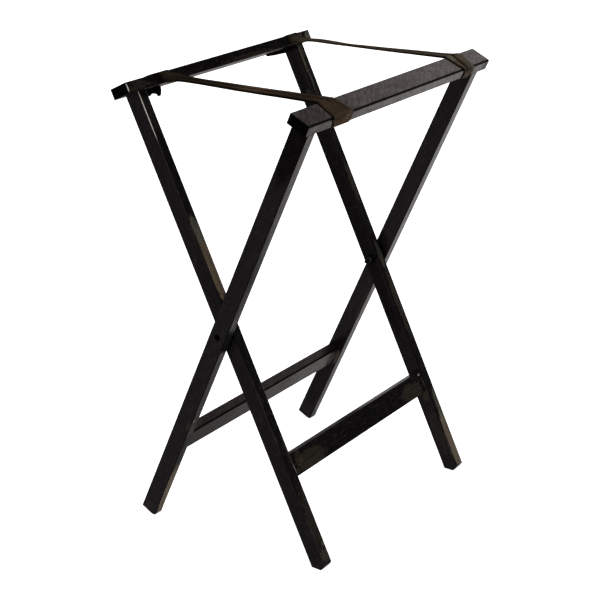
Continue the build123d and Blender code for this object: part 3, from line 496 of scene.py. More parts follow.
steel = metal("pivot_steel_worn", (0.03, 0.03, 0.032), (0.20, 0.19, 0.18), 0.42)
black_steel_and_shade = metal("pivot_steel_black", (0.004, 0.004, 0.0042), (0.022, 0.021, 0.020), 0.55)
tack = metal("tack_steel_worn", (0.035, 0.030, 0.028), (0.16, 0.14, 0.125), 0.45)
highlit_tack = metal("tack_steel_painted_highlight", (0.13, 0.100, 0.088), (0.30, 0.25, 0.22), 0.5)
black = plastic("spacer_plastic_black")
peg = bare_wood("dowel_wood")
for node in NODES:
    if "dowels" in node:
        give(node, peg)
    elif "tack" in node:
        # the front tack is a lighter steel as painted highlight on its rim, and its dimple faces get the black steel as
        # painted shade
        o = give(node, highlit_tack if "front" in node else tack)
        if "front" in node:
            o.data.materials.append(black_steel_and_shade)
            across, up = AXES["outer"]
            for f in o.data.polygons:
                p = f.center - at("outer", 0.0, OUT_V0 + 0.014, -0.154)
                if math.hypot(p.dot(up), p.y) < 0.00228 and f.normal.dot(across) > -0.5:
                    f.material_index = 1
    elif "spacer" in node:
        give(node, black)
    # bolts and washers in black steel; in the near recess its darkness also stands as painted shade
    elif "washer" in node or "bolt" in node:
        give(node, black_steel_and_shade)
    elif "pivot" in node:
        give(node, steel)

# ---------------------------------------------------------------------------------------------
# Webbing straps
# ---------------------------------------------------------------------------------------------
WEB_W, WEB_T = 0.0508, 0.0014
GAP = 0.0003


def webbing(name, dark, light, thread_tone, faded):
    """Woven strap, soiled and faded. The UV map runs in widths of the strap; the shade layer paints shade into the
    colour at creases, turned edges, undersides, folds and the hanging tail, the fade layer marks rubbed places.
    """
    t = Tree(name)
    uv = t.coord("UV")
    a, s, _ = t.split(uv)
    where = t.join(a, s, 0.0)
    shade = t.nodes.new("ShaderNodeAttribute")
    shade.attribute_name = "shade"
    fade = t.nodes.new("ShaderNodeAttribute")
    fade.attribute_name = "fade"
    big = t.noise(where, 1.3, 4.0, 0.6)
    mid = t.noise(t.vec("MULTIPLY", where, (5.0, 0.8, 1.0)), 1.7, 3.0, 0.6)
    fuzz = t.noise(where, 9.0, 4.0, 0.7)
    thread = t.noise(t.vec("MULTIPLY", where, (46.0, 8.0, 1.0)), 1.0, 2.0, 0.6)
    warp_ = t.math("SINE", t.mul(a, 2 * math.pi * 40))
    weft = t.math("SINE", t.mul(s, 2 * math.pi * 34))
    weave = t.mul(warp_, weft)
    colour = t.mix(t.ramp(big, 0.35, 0.65), dark, light)
    colour = t.mix(t.mul(t.ramp(mid, 0.42, 0.64), 0.85), colour, thread_tone)
    moss = t.noise(t.vec("ADD", where, (7.3, 2.1, 0.0)), 1.1, 3.0, 0.6)
    rubbed = t.mul(fade.outputs["Fac"], t.ramp(fuzz, 0.30, 0.70, (0.65, 1.25)))
    colour = t.mix(t.math("MINIMUM", rubbed, 1.0), colour, faded)
    colour = t.mix(t.mul(t.ramp(moss, 0.52, 0.66), 0.55), colour, (0.040, 0.035, 0.020))
    colour = t.mix(t.mul(t.ramp(thread, 0.5, 0.7), 0.35), colour, tuple(c * 0.5 for c in dark))
    colour = t.mix(t.ramp(weave, -1.0, 0.6, (0.45, 0.0)), colour, tuple(c * 0.3 for c in dark))
    # painted shade: the shade layer darkens the colour towards near-black
    colour = t.mix(t.mul(shade.outputs["Fac"], 0.95), colour, (0.0030, 0.0018, 0.0012))
    t.set(Base_Color=colour, Roughness=t.ramp(thread, 0.3, 0.7, (0.78, 0.94)))
    t.bsdf.inputs["Specular IOR Level"].default_value = 0.025
    t.links.new(t.bump(t.add(weave, t.mul(thread, 0.8)), 0.6, 0.00035), t.bsdf.inputs["Normal"])
    return t.mat


def table_at(table, x):
    """Smooth value from rows of (x, value), without overshoot."""
    if x <= table[0][0]:
        return table[0][1]
    if x >= table[-1][0]:
        return table[-1][1]
    i = next(k for k in range(1, len(table)) if x <= table[k][0])

    def rise(k):
        return (table[k][1] - table[k - 1][1]) / (table[k][0] - table[k - 1][0])

    def slope(k):
        if k == 0 or k == len(table) - 1:
            return 0.0
        a, b = rise(k), rise(k + 1)
        return 2 * a * b / (a + b) if a * b > 0 else 0.0

    (xa, va), (xb, vb) = table[i - 1], table[i]
    h = xb - xa
    k = (x - xa) / h
    return (va * (2 * k**3 - 3 * k * k + 1) + vb * (3 * k * k - 2 * k**3)
            + slope(i - 1) * h * (k**3 - 2 * k * k + k) + slope(i) * h * (k**3 - k * k))


def strap_route(tail):
    """Stations of a strap in the side view: (q, point, way out from the wood). q counts the corners passed:
    0 under the +X rail, 1 and 2 its front corners, 3 its inside top edge, 4 the -X rail's inside top edge, 5 its outside top edge, 6 the tail."""
    off = GAP + WEB_T / 2
    right = at("outer", -RAIL_U, OUT_V1, 0)
    left = at("inner", RAIL_U, IN_V1, 0)
    way = (left - right).normalized()
    lift = Vector((way.z, 0, -way.x)) * off

    def meet(p, d, q, e):
        det = d.x * -e.z + e.x * d.z
        return p + d * (((q.x - p.x) * -e.z + e.x * (q.z - p.z)) / det)

    corners = [
        at("outer", HALF - 0.0175, OUT_V0 - off, 0),
        at("outer", HALF + off, OUT_V0 - off, 0),
        at("outer", HALF + off, OUT_V1 + off, 0),
        meet(right + lift, way, at("outer", 0, OUT_V1 + off, 0), AXES["outer"][0]),
        meet(right + lift, way, at("inner", 0, IN_V1 + off, 0), AXES["inner"][0]),
        at("inner", -HALF - off, IN_V1 + off, 0),
        at("inner", -HALF - off, IN_V0 - tail, 0),
    ]
    rows = []
    bend = 0.0026
    for i, c in enumerate(corners):
        before = (c - corners[i - 1]).normalized() if i else None
        after = (corners[i + 1] - c).normalized() if i < 6 else None
        if before is None or after is None:
            d = after or before
            rows.append((float(i), c.copy(), Vector((d.z, 0, -d.x))))
        else:
            angle = before.angle(after)
            back = bend * math.tan(angle / 2)
            n0, n1 = Vector((before.z, 0, -before.x)), Vector((after.z, 0, -after.x))
            centre = c - before * back - n0 * bend
            steps = max(3, round(angle / math.radians(11)))
            for k in range(steps + 1):
                f = k / steps
                n = (n0 * math.sin((1 - f) * angle) + n1 * math.sin(f * angle)) / math.sin(angle)
                rows.append((i + (f - 0.5) * 0.06, centre + n * bend, n))
        if after is not None:
            nxt = (corners[i + 2] - corners[i + 1]).normalized() if i < 5 else None
            cut = bend * math.tan(after.angle(nxt) / 2) if nxt else 0.0
            start, end = rows[-1][1].copy(), corners[i + 1] - after * cut
            n = Vector((after.z, 0, -after.x))
            q0, q1 = rows[-1][0], i + 1 - (0.03 if nxt else 0.0)
            run = (end - start).length
            done = 0.0
            while True:
                done += 0.0008 if i == 3 and run - done < 0.016 else 0.0026
                if done > run - 0.0005:
                    break
                rows.append((q0 + (q1 - q0) * done / run, start.lerp(end, done / run), n))
    return rows


SPAN_FROM, SPAN_TO = at("outer", -RAIL_U, OUT_V1, 0), at("inner", RAIL_U, IN_V1, 0)
SPAN_L = (SPAN_TO - SPAN_FROM).length
SPAN_WAY = (SPAN_TO - SPAN_FROM) / SPAN_L


def share(q, p):
    """How far a point is along the span, 0 at the +X rail's inside edge and 1 at the -X rail's."""
    if not 2.9 < q < 4.1:
        return 0.0 if q < 3.5 else 1.0
    return min(1.0, max(0.0, (p - SPAN_FROM).dot(SPAN_WAY) / SPAN_L))


def folded(spare, visible, r):
    """The turned-under edges of a strap: (turn angle, flap length) for the near and far edge."""
    made = []
    for q in (spare / 2, spare / 2):
        if q <= 0.5708 * r:
            made.append((max(0.12, math.pi / 2 * q / (0.5708 * r)), 0.0))
        elif q <= 2.1416 * r:
            made.append((1 + q / r, 0.0))
        else:
            made.append((math.pi, q - 2.1416 * r))
    room = max(0.0, visible - 2 * r - 0.003)
    total = made[0][1] + made[1][1]
    if total > room:
        made = [(ang, flap * room / total) for ang, flap in made]
    return made


def section(y0, y1, r, sides, ridge, n_points):
    """Points across a strap from its near cut edge to its far one, evenly spaced: (y, n, normal y, normal n, share of the cloth's width, share of the visible width)."""
    line = []
    (ang0, flap0), (ang1, flap1) = sides

    def arc(yc, a_from, a_to, steps):
        for k in range(steps + 1):
            a = a_from + (a_to - a_from) * k / steps
            line.append((yc + r * math.cos(a), -r + r * math.sin(a)))

    top = math.pi / 2
    if flap0 > 1e-5:
        line += [(y0 + r + flap0 * (1 - k / 4), -2 * r) for k in range(4)]
    ya, yb = y0 + r * math.sin(min(ang0, top)), y1 - r * math.sin(min(ang1, top))
    arc(ya, top + ang0, top, 14)
    for k in range(1, 90):
        f = k / 90
        y = ya + (yb - ya) * f
        line.append((y, ridge((y - y0) / (y1 - y0)) * math.sin(math.pi * f) ** 0.35))
    arc(yb, top, top - ang1, 14)
    if flap1 > 1e-5:
        line += [(y1 - r - flap1 * k / 4, -2 * r) for k in range(1, 5)]
    run = [0.0]
    for (ya_, na_), (yb_, nb_) in zip(line, line[1:]):
        run.append(run[-1] + math.hypot(yb_ - ya_, nb_ - na_))
    made, j = [], 0
    for k in range(n_points):
        want = run[-1] * k / (n_points - 1)
        while j < len(run) - 2 and run[j + 1] < want:
            j += 1
        f = (want - run[j]) / max(1e-9, run[j + 1] - run[j])
        made.append((line[j][0] + (line[j + 1][0] - line[j][0]) * f, line[j][1] + (line[j + 1][1] - line[j][1]) * f))
    out = []
    for k, p in enumerate(made):
        a, b = made[max(0, k - 1)], made[min(n_points - 1, k + 1)]
        d = math.hypot(b[0] - a[0], b[1] - a[1])
        out.append((p[0], p[1], -(b[1] - a[1]) / d, (b[0] - a[0]) / d, k / (n_points - 1), min(1.0, max(0.0, (p[0] - y0) / (y1 - y0)))))
    return out


def build_strap(name, node, near, far, fold, ridge_fn, shade_fn, fade_fn, drop_fn, tail_rows, wob, cloth):
    """near and far are tables of the strap's visible edges along y in mm over q, fold says where the spare width is turned under.
    ridge_fn, shade_fn and fade_fn give the height of the ridges, the darkness of the creases and the rubbed places from q and the share of the width;
    drop_fn gives the hang below the straight line from the share of the span and of the width."""
    tail = 0.004
    rows = strap_route(tail)
    grid, marks = [], []
    run, last = 0.0, None
    K = 80
    r = 0.0009
    for q, p, n in rows:
        y0 = (table_at(near, q) + 0.4 * noise.noise(Vector((q * 9.0, wob, 0.3)))) / 1000
        y1 = (table_at(far, q) + 0.4 * noise.noise(Vector((q * 9.0, wob, 5.7)))) / 1000
        spare = max(0.0, WEB_W - (y1 - y0)) * table_at(fold, q)
        prof = section(y0, y1, r, folded(spare, y1 - y0, r), lambda x: ridge_fn(q, x) / 1000, K)
        if last is not None:
            run += (p - last).length
        last = p
        s = share(q, p)
        # webbing that hangs lower than the -X rail's top edge lies against the rail's inside face
        reach = max(0.0, CS / SN * ((1 - s) * SPAN_L * 1000 - 1.1))
        sunk = table_at(SUNK, q) / 1000
        half = table_at(THICK, q) / 2000
        tail_f = (q - 5.2) / 0.8 if q > 5.2 else 0.0
        line, mark = [], []
        for (y, m, ny, nn, share_a, x) in prof:
            c = p + n * (m - sunk)
            if 0.0 < s < 1.0:
                c.z -= min(drop_fn(s, x), reach) / 1000
            c = Vector((c.x, PIVOT.y + y, c.z))
            if tail_f > 0.0:
                v_end = table_at(tail_rows, y * 1000) / 1000
                c += AXES["inner"][1] * (v_end - (IN_V0 - tail)) * tail_f
            line.append(c)
            # turned-under flaps face down: painted shade 0.6
            top = shade_fn(q, x) if nn > -0.3 else 0.6
            mark.append((share_a, run / WEB_W, top, fade_fn(q, x), half * (1 - 0.35 * abs(2 * share_a - 1) ** 14), q > 5.0))
        grid.append(line)
        marks.append(mark)
    count = len(grid)
    verts, faces, uvs, dark, pale = [], [], [], [], []
    for i, line in enumerate(grid):
        before, after = grid[max(0, i - 1)], grid[min(count - 1, i + 1)]
        out = [((line[min(K - 1, k + 1)] - line[max(0, k - 1)]).cross(after[k] - before[k])).normalized() for k in range(K)]
        for side, order in ((1, range(K)), (-1, range(K - 1, -1, -1))):
            for k in order:
                a, b, top, fade, w, hanging = marks[i][k]
                verts.append(line[k] + out[k] * w * side)
                uvs.append((a, b))
                # the strap's underside gets painted shade 0.35, the hanging tail is shaded on both sides
                dark.append(top if side == 1 or hanging else 0.35)
                pale.append(fade if side == 1 else 0.0)
    ring = 2 * K
    for i in range(count - 1):
        for k in range(ring):
            k2 = (k + 1) % ring
            faces.append((i * ring + k, (i + 1) * ring + k, (i + 1) * ring + k2, i * ring + k2))
    for i, flip in ((0, False), (count - 1, True)):
        for k in range(K - 1):
            f = (i * ring + k, i * ring + k + 1, i * ring + ring - 2 - k, i * ring + ring - 1 - k)
            faces.append(f[::-1] if flip else f)
    mesh = bpy.data.meshes.new(name)
    mesh.from_pydata([tuple(v) for v in verts], [], faces)
    layer = mesh.uv_layers.new(name="weave")
    for loop in mesh.loops:
        layer.data[loop.index].uv = uvs[loop.vertex_index]
    mesh.attributes.new("shade", "FLOAT", "POINT").data.foreach_set("value", dark)
    mesh.attributes.new("fade", "FLOAT", "POINT").data.foreach_set("value", pale)
    mesh.validate()
    mesh.shade_smooth()
    o = bpy.data.objects.new(name, mesh)
    bpy.context.scene.collection.objects.link(o)
    mesh.materials.append(webbing("webbing_" + name, *cloth))
    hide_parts(node)
    mid = (table_at(near, 3.5) + table_at(far, 3.5)) / 2000
    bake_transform(o)
    return o


def bumps(x, centre, wide):
    return math.exp(-(((x - centre) / wide) ** 2))


# the webbing lies thin and close on the -X rail's top, mm over q
SUNK = [(3.8, 0.0), (3.97, 0.35), (4.9, 0.35), (5.0, 0.0)]
THICK = [(3.8, 1.4), (3.97, 1.0), (4.9, 1.0), (5.0, 1.4)]


def edges(x, wide):
    """1 along both edges of the strap, 0 in its middle."""
    return min(1.0, bumps(x, 0.0, wide) + bumps(x, 1.0, wide))


# near strap: two lengthwise folds with a crease between them, which dies out on the +X rail
NEAR_CREASE = [(2.5, 0.60), (3.0, 0.55), (3.5, 0.50), (3.8, 0.52), (4.0, 0.60)]
NEAR_DEPTH = [(2.4, 0.0), (2.8, 0.35), (3.1, 1.0), (3.75, 1.0), (3.86, 0.5), (3.92, 0.0)]
# hang of its near and far edge below the straight line, mm over the share of the span
NEAR_LOW = [(0.0, 0.0), (0.1, 0.2), (0.2, 0.6), (0.3, 1.2), (0.4, 1.6), (0.5, 1.9), (0.6, 1.9), (0.7, 2.0), (0.75, 2.3), (0.8, 2.8), (0.85, 4.3), (0.9, 8.2), (0.93, 11.2), (0.95, 13.2), (0.97, 15.0), (1.0, 16.5)]
NEAR_HIGH = [(0.0, 0.0), (0.1, -0.1), (0.2, 0.0), (0.3, 0.8), (0.4, 1.3), (0.5, 1.85), (0.6, 2.2), (0.7, 2.7), (0.8, 3.1), (0.85, 3.0), (0.9, 2.3), (0.93, 2.4), (0.96, 3.0), (1.0, 4.0)]


def near_ridge(q, x):
    """Height of the near strap's lengthwise folds, mm."""
    amount = table_at([(1.2, 0.1), (2.0, 0.3), (2.6, 0.6), (3.0, 0.8), (3.5, 1.0), (3.75, 0.8), (3.88, 0.0)], q)
    c = table_at(NEAR_CREASE, q) + 0.03 * noise.noise(Vector((q * 3.1, 1.7, 0.0)))
    groove = table_at(NEAR_DEPTH, q) * 1.7 * bumps(x, c, 0.055)
    return amount * (bumps(x, c - 0.25, 0.2) + 0.9 * bumps(x, c + 0.25, 0.17)) - groove + 0.2 * amount * noise.noise(Vector((q * 14.0, x * 3.0, 2.2)))


# painted shade for the near strap: dark crease, turned edges, near edge and far rim on the span, the corner lying in
# shadow on the -X rail and the near-black hanging tail; also darker over the span
def near_shade(q, x):
    c = table_at(NEAR_CREASE, q) + 0.03 * noise.noise(Vector((q * 3.1, 1.7, 0.0)))
    crease = table_at(NEAR_DEPTH, q) * bumps(x, c, 0.10)
    rims = table_at([(2.8, 0.0), (3.1, 0.95), (3.8, 0.95), (3.9, 0.2), (4.5, 0.0)], q) * edges(x, 0.12)
    side = table_at([(0.9, 0.5), (1.0, 0.8), (2.0, 0.95), (3.0, 0.9), (3.2, 0.0)], q) * bumps(x, 0.0, 0.035)
    dim_and_tail_shade = table_at([(2.9, 0.0), (3.12, 0.25), (3.4, 0.18), (3.55, 0.5), (3.68, 0.66), (3.85, 0.60), (3.93, 0.42), (4.0, 0.25), (5.0, 0.2), (5.1, 0.92)], q)
    brim = table_at([(3.4, 0.0), (3.55, 0.75), (3.8, 0.85), (3.88, 0.2), (3.92, 0.0)], q) * bumps(x, 1.0, 0.30)
    corner = table_at([(3.85, 0.0), (3.91, 0.7), (3.95, 1.0), (4.05, 0.9), (4.4, 0.0)], q) * min(1.0, max(0.0, 1.35 - x / 0.42))
    return min(1.0, max(crease + rims + side + brim, dim_and_tail_shade, corner))


def near_fade(q, x):
    amount = table_at([(0.9, 0.1), (1.05, 1.5), (1.9, 1.4), (2.1, 0.31), (2.9, 0.27), (3.06, 0.22), (3.12, 0.08), (3.85, 0.04), (3.92, 0.06), (4.0, 0.08), (5.0, 0.12)], q)
    stripe = table_at([(3.1, 0.0), (3.25, 0.60), (3.45, 0.52), (3.6, 0.30), (3.75, 0.18), (3.85, 0.10), (3.9, 0.20), (3.98, 0.12), (4.1, 0.0)], q) * bumps(x, 0.76, 0.12) + table_at([(3.1, 0.0), (3.3, 0.25), (3.7, 0.18), (3.85, 0.0)], q) * bumps(x, 0.27, 0.10)
    outer = table_at([(1.9, 0.0), (2.1, -0.16), (2.9, -0.12), (3.1, 0.0)], q) * bumps(x, 0.9, 0.25)
    patch = table_at([(3.3, 0.0), (3.38, 0.35), (3.44, 0.35), (3.52, 0.0)], q)
    return max(0.0, amount + stripe + outer + patch)


def near_drop(s, x):
    low, high = table_at(NEAR_LOW, s), table_at(NEAR_HIGH, s)
    return high + (low - high) * (1 - x) ** 1.6


# far strap: gathered into two folds, the far one lying over the near one on the +X rail
FAR_CREASE = [(1.9, 0.22), (2.14, 0.34), (2.57, 0.40), (2.88, 0.46), (3.15, 0.50), (3.6, 0.50), (3.9, 0.55), (4.0, 0.6)]
FAR_DEPTH = [(1.7, 0.0), (2.1, 1.0), (2.9, 1.0), (3.1, 0.7), (3.4, 0.45), (3.75, 0.45), (3.88, 0.0)]
FAR_LOW = [(0.0, 0.0), (0.1, 0.4), (0.2, 0.96), (0.3, 1.5), (0.4, 2.0), (0.5, 2.3), (0.6, 2.4), (0.69, 2.9), (0.74, 2.9), (0.8, 2.7), (0.85, 3.6), (0.9, 7.6), (0.93, 9.5), (0.97, 10.0), (1.0, 10.5)]
FAR_HIGH = [(0.0, 0.0), (0.1, 0.2), (0.2, 0.5), (0.3, 1.1), (0.4, 1.7), (0.5, 2.1), (0.6, 2.4), (0.7, 2.3), (0.8, 2.3), (0.85, 3.0), (0.9, 4.0), (0.93, 4.3), (0.97, 4.5), (1.0, 5.0)]


def far_ridge(q, x):
    amount = table_at([(1.0, 0.3), (1.9, 0.7), (2.2, 1.2), (2.7, 1.5), (3.0, 1.3), (3.3, 0.7), (3.7, 0.5), (3.86, 0.0)], q)
    c = table_at(FAR_CREASE, q)
    wide = max(0.05, c)
    near_fold = 0.55 * bumps(x, 0.55 * c, 0.5 * wide)
    far_fold = bumps(x, 0.5 * (1 + c) - 0.1, 0.42 * (1 - c)) if x > c else bumps(c, 0.5 * (1 + c) - 0.1, 0.42 * (1 - c)) * max(0.0, 1 - (c - x) / 0.05)
    groove = table_at(FAR_DEPTH, q) * 1.9 * bumps(x, c - 0.02, 0.05)
    return amount * max(near_fold, far_fold) * 1.25 - groove + 0.2 * amount * noise.noise(Vector((q * 14.0, x * 3.0, 8.8)))


# painted shade for the far strap: dark crease, turned edges, folds on the front, the corner lying in shadow on the -X
# rail and the near-black hanging tail; also darker over the landing
def far_shade(q, x):
    c = table_at(FAR_CREASE, q)
    crease = table_at(FAR_DEPTH, q) * bumps(x, c - 0.02, 0.095)
    rims = table_at([(2.9, 0.0), (3.1, 0.7), (3.8, 0.6), (3.9, 0.2), (4.5, 0.0)], q) * edges(x, 0.14)
    side = table_at([(0.9, 0.5), (1.0, 0.9), (2.0, 1.0), (3.0, 1.0), (3.2, 0.0)], q) * (bumps(x, 0.0, 0.05) + 0.85 * bumps(x, 1.0, 0.06))
    folds = table_at([(0.9, 0.0), (1.1, 0.6), (1.8, 0.5), (2.1, 0.0)], q) * (bumps(x, 0.62, 0.07) + 0.7 * bumps(x, 0.88, 0.05))
    dim_and_tail_shade = table_at([(3.0, 0.0), (3.2, 0.1), (3.8, 0.1), (3.92, 0.40), (4.0, 0.54), (5.0, 0.48), (5.1, 0.92)], q)
    corner = table_at([(3.85, 0.0), (3.90, 0.55), (3.95, 0.85), (4.3, 0.8), (4.7, 0.3)], q) * min(1.0, max(0.0, 1.25 - x / 0.34))
    return min(1.0, max(crease + rims + side + folds, dim_and_tail_shade, corner))


def far_fade(q, x):
    amount = table_at([(0.9, 0.1), (1.05, 1.3), (1.9, 1.2), (2.15, 0.58), (2.9, 0.52), (3.1, 0.25), (3.3, 0.12), (3.8, 0.10), (3.92, 0.10), (4.0, 0.10), (5.0, 0.12)], q)
    lobe = table_at([(2.0, 0.0), (2.2, 0.24), (2.9, 0.26), (3.1, 0.0)], q) * (1.0 if x < table_at(FAR_CREASE, q) - 0.05 else 0.0) * (0.75 + 0.25 * math.sin(40.0 * x))
    line = table_at([(2.0, 0.0), (2.2, 0.4), (2.9, 0.4), (3.1, 0.0)], q) * bumps(x, table_at(FAR_CREASE, q) - 0.15, 0.05)
    return amount + lobe + line


def far_drop(s, x):
    low, high = table_at(FAR_LOW, s), table_at(FAR_HIGH, s)
    return high + (low - high) * (1 - x) ** 1.6


FOLD = [(2.85, 0.0), (3.02, 0.35), (3.12, 1.0), (3.78, 1.0), (3.86, 0.45), (3.92, 0.0)]
near_strap = build_strap(
    "near_strap_webbing", "near_strap",
    near=[(0, -183.5), (1, -184.0), (1.3, -184.4), (1.48, -184.6), (1.66, -190.0), (2, -188.0), (2.5, -185.5), (3, -182.7), (3.2, -182.5), (3.5, -183.0), (3.7, -183.0), (3.8, -182.3), (3.86, -180.8), (3.91, -177.0), (3.93, -174.5), (3.947, -172.6), (3.96, -174.0), (3.968, -180.0), (4.0, -186.0), (4.05, -193.0), (4.15, -196.0), (4.4, -193.0), (5, -186.5), (6, -184.0)],
    far=[(0, -141.0), (1, -139.5), (1.5, -138.0), (2, -138.8), (2.41, -140.8), (2.8, -142.6), (2.95, -143.2), (3.05, -145.4), (3.12, -148.2), (3.2, -151.2), (3.35, -152.6), (3.5, -153.7), (3.6, -154.4), (3.7, -155.0), (3.78, -154.2), (3.85, -151.0), (3.91, -148.2), (3.96, -147.0), (4.0, -146.0), (4.4, -143.0), (5, -136.4), (6, -135.5)],
    fold=FOLD, ridge_fn=near_ridge, shade_fn=near_shade, fade_fn=near_fade, drop_fn=near_drop,
    tail_rows=[(-186, 410.0), (-173, 408.9), (-166.6, 407.7), (-163.8, 408.5), (-160.6, 410.5), (-158.4, 410.1), (-154.1, 409.1), (-152.1, 408.5), (-150.4, 407.4), (-149.1, 404.5), (-147.2, 402.9), (-143.4, 403.4), (-138.6, 409.0), (-135.5, 414.0)], wob=1.0,
    cloth=((0.018, 0.0115, 0.0065), (0.030, 0.0205, 0.0125), (0.055, 0.039, 0.025), (0.200, 0.131, 0.086)))
far_strap = build_strap(
    "far_strap_webbing", "far_strap",
    near=[(0, 189.0), (1, 190.0), (1.5, 191.5), (2, 186.0), (2.5, 183.6), (2.94, 181.2), (3.1, 180.6), (3.3, 179.0), (3.5, 178.0), (3.75, 176.0), (3.9, 174.5), (3.97, 176.0), (4.2, 176.0), (5, 163.0), (6, 149.5)],
    far=[(0, 216.0), (1, 217.0), (1.5, 220.5), (2, 217.0), (2.2, 217.6), (2.5, 220.4), (2.76, 224.0), (2.9, 225.0), (3.1, 206.0), (3.2, 202.5), (3.28, 199.0), (3.4, 195.0), (3.5, 191.5), (3.6, 188.0), (3.68, 190.0), (3.76, 192.0), (3.83, 190.5), (3.88, 191.5), (3.93, 198.5), (3.96, 204.0), (4.05, 206.0), (4.4, 208.0), (5, 212.0), (6, 207.0)],
    fold=FOLD, ridge_fn=far_ridge, shade_fn=far_shade, fade_fn=far_fade, drop_fn=far_drop,
    tail_rows=[(149, 416.8), (151.8, 415.0), (154.3, 414.0), (159, 413.6), (164.8, 413.2), (170.4, 412.6), (176.2, 412.2), (182, 412.1), (188, 411.8), (196.5, 411.3), (213, 410.3)], wob=2.0,
    cloth=((0.048, 0.034, 0.021), (0.076, 0.060, 0.040), (0.100, 0.083, 0.060), (0.230, 0.192, 0.145)))

# ---------------------------------------------------------------------------------------------
# Camera, floor and light
# ---------------------------------------------------------------------------------------------
scene = bpy.context.scene
camera = bpy.data.objects.new("camera", bpy.data.cameras.new("camera"))
scene.collection.objects.link(camera)
camera.data.lens = 87.5016
camera.data.sensor_width = 36.0
camera.data.clip_start, camera.data.clip_end = 0.05, 400.0
turn = Matrix(((0.799962351, -0.209513706, 0.562284842),
               (0.599740803, 0.309258731, -0.738017619),
               (-0.01926669, 0.927611473, 0.37304926)))
camera.matrix_world = Matrix.Translation((1.434461, -1.913801, 1.329985)) @ turn.to_4x4()
scene.camera = camera

floor_mesh = bpy.data.meshes.new("floor")
R = 150.0
floor_mesh.from_pydata([(-R, -R, 0), (R, -R, 0), (R, R, 0), (-R, R, 0)], [], [(0, 1, 2, 3)])
floor = bpy.data.objects.new("floor", floor_mesh)
scene.collection.objects.link(floor)
t = Tree("floor_paper")
tone = t.noise(t.coord("Object"), 1.7, 3.0, 0.5)
t.set(Base_Color=t.mix(tone, (0.90, 0.90, 0.90), (0.94, 0.94, 0.94)), Roughness=t.ramp(tone, 0.3, 0.7, (0.85, 0.95)))
t.bsdf.inputs["Specular IOR Level"].default_value = 0.0
t.bsdf.inputs["Emission Color"].default_value = (1, 1, 1, 1)
t.bsdf.inputs["Emission Strength"].default_value = 0.95
floor_mesh.materials.append(t.mat)
floor.visible_glossy = False
floor.visible_diffuse = False

world = bpy.data.worlds.new("studio")
scene.world = world
world.use_nodes = True
wn, wl = world.node_tree.nodes, world.node_tree.links
wn.clear()
w_out = wn.new("ShaderNodeOutputWorld")
w_bg = wn.new("ShaderNodeBackground")
wl.new(w_bg.outputs[0], w_out.inputs[0])
w_dir = wn.new("ShaderNodeTexCoord")


def w_lobe(axis, a, b, power):
    """A soft patch of light round an axis, between two cosines."""
    d = wn.new("ShaderNodeVectorMath")
    d.operation = "DOT_PRODUCT"
    wl.new(w_dir.outputs["Generated"], d.inputs[0])
    d.inputs[1].default_value = Vector(axis).normalized()
    m = wn.new("ShaderNodeMapRange")
    m.interpolation_type = "SMOOTHSTEP"
    wl.new(d.outputs["Value"], m.inputs["Value"])
    m.inputs["From Min"].default_value, m.inputs["From Max"].default_value = a, b
    m.inputs["To Max"].default_value = power
    return m.outputs["Result"]


def w_tint(value, colour):
    n = wn.new("ShaderNodeVectorMath")
    n.operation = "SCALE"
    n.inputs[0].default_value = colour
    wl.new(value, n.inputs["Scale"])
    return n.outputs["Vector"]


def w_sum(*parts):
    got = parts[0]
    for p in parts[1:]:
        n = wn.new("ShaderNodeVectorMath")
        wl.new(got, n.inputs[0])
        if isinstance(p, tuple):
            n.inputs[1].default_value = p
        else:
            wl.new(p, n.inputs[1])
        got = n.outputs["Vector"]
    return got


w_xyz = wn.new("ShaderNodeSeparateXYZ")
wl.new(w_dir.outputs["Generated"], w_xyz.inputs[0])


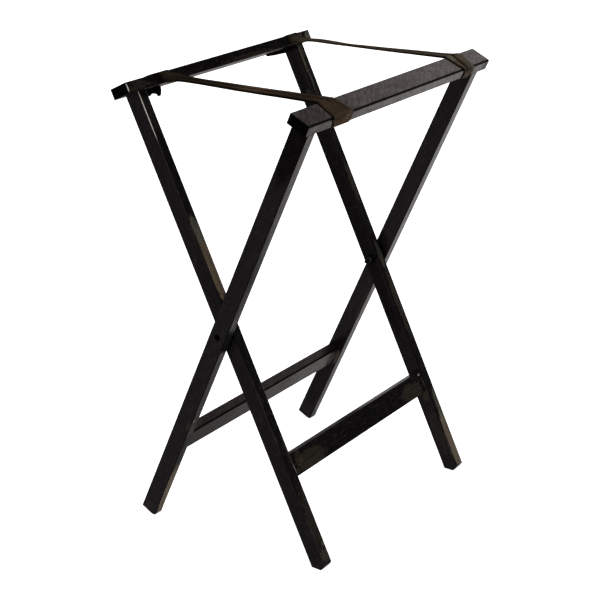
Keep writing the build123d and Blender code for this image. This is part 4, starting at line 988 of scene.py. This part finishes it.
def w_step(axis, a, b, lo, hi):
    """A soft step along one axis of the direction."""
    m = wn.new("ShaderNodeMapRange")
    m.interpolation_type = "SMOOTHSTEP"
    wl.new(w_xyz.outputs[axis], m.inputs["Value"])
    for key, v in (("From Min", a), ("From Max", b), ("To Min", lo), ("To Max", hi)):
        m.inputs[key].default_value = v
    return m.outputs["Result"]


def w_mul(a, b):
    n = wn.new("ShaderNodeMath")
    n.operation = "MULTIPLY"
    wl.new(a, n.inputs[0])
    wl.new(b, n.inputs[1])
    return n.outputs[0]


# a wide white backdrop behind the stand, darker towards its sides and above, a lamp overhead and weak fills from the front
backdrop = w_mul(w_mul(w_step("Y", 0.60, 0.90, 0.0, 1.30), w_step("X", 0.20, 0.46, 1.0, 0.02)), w_mul(w_mul(w_step("X", -0.48, -0.22, 0.5, 1.0), w_step("Z", 0.20, 0.42, 1.0, 0.84)), w_step("Z", 0.48, 0.66, 1.0, 0.5)))
# an even room light from the other sides, and a weak one from low behind
room = w_mul(w_step("Y", 0.20, 0.45, 0.17, 0.0), w_lobe((-0.58, -0.72, -0.37), 0.93, 0.80, 1.0))
light = w_sum(
    w_tint(room, (1.0, 0.98, 0.96)),
    w_tint(w_lobe((0.57, 0.72, -0.40), 0.88, 0.97, 0.18), (1.0, 0.98, 0.96)),
    w_tint(backdrop, (1.0, 0.965, 0.93)),
    w_tint(w_lobe((0, 0, 1), 0.76, 0.97, 1.5), (1.0, 0.97, 0.93)),
    w_tint(w_lobe((-0.5, -0.8, -0.3), -0.1, 0.9, 0.118), (1.0, 0.86, 0.98)),
    w_tint(w_lobe((0.80, -0.35, 0.50), 0.70, 0.97, 0.40), (1.0, 0.98, 0.96)),
    w_tint(w_lobe((0.40, -0.80, -0.45), 0.80, 0.97, 0.45), (1.0, 0.97, 0.95)),
    (0.035, 0.034, 0.034))
w_path = wn.new("ShaderNodeLightPath")
w_pick = wn.new("ShaderNodeMix")
w_pick.data_type = "RGBA"
wl.new(w_path.outputs["Is Camera Ray"], w_pick.inputs[0])
wl.new(light, w_pick.inputs[6])
w_pick.inputs[7].default_value = (1, 1, 1, 1)
wl.new(w_pick.outputs[2], w_bg.inputs["Color"])
scene.view_settings.view_transform = "Standard"
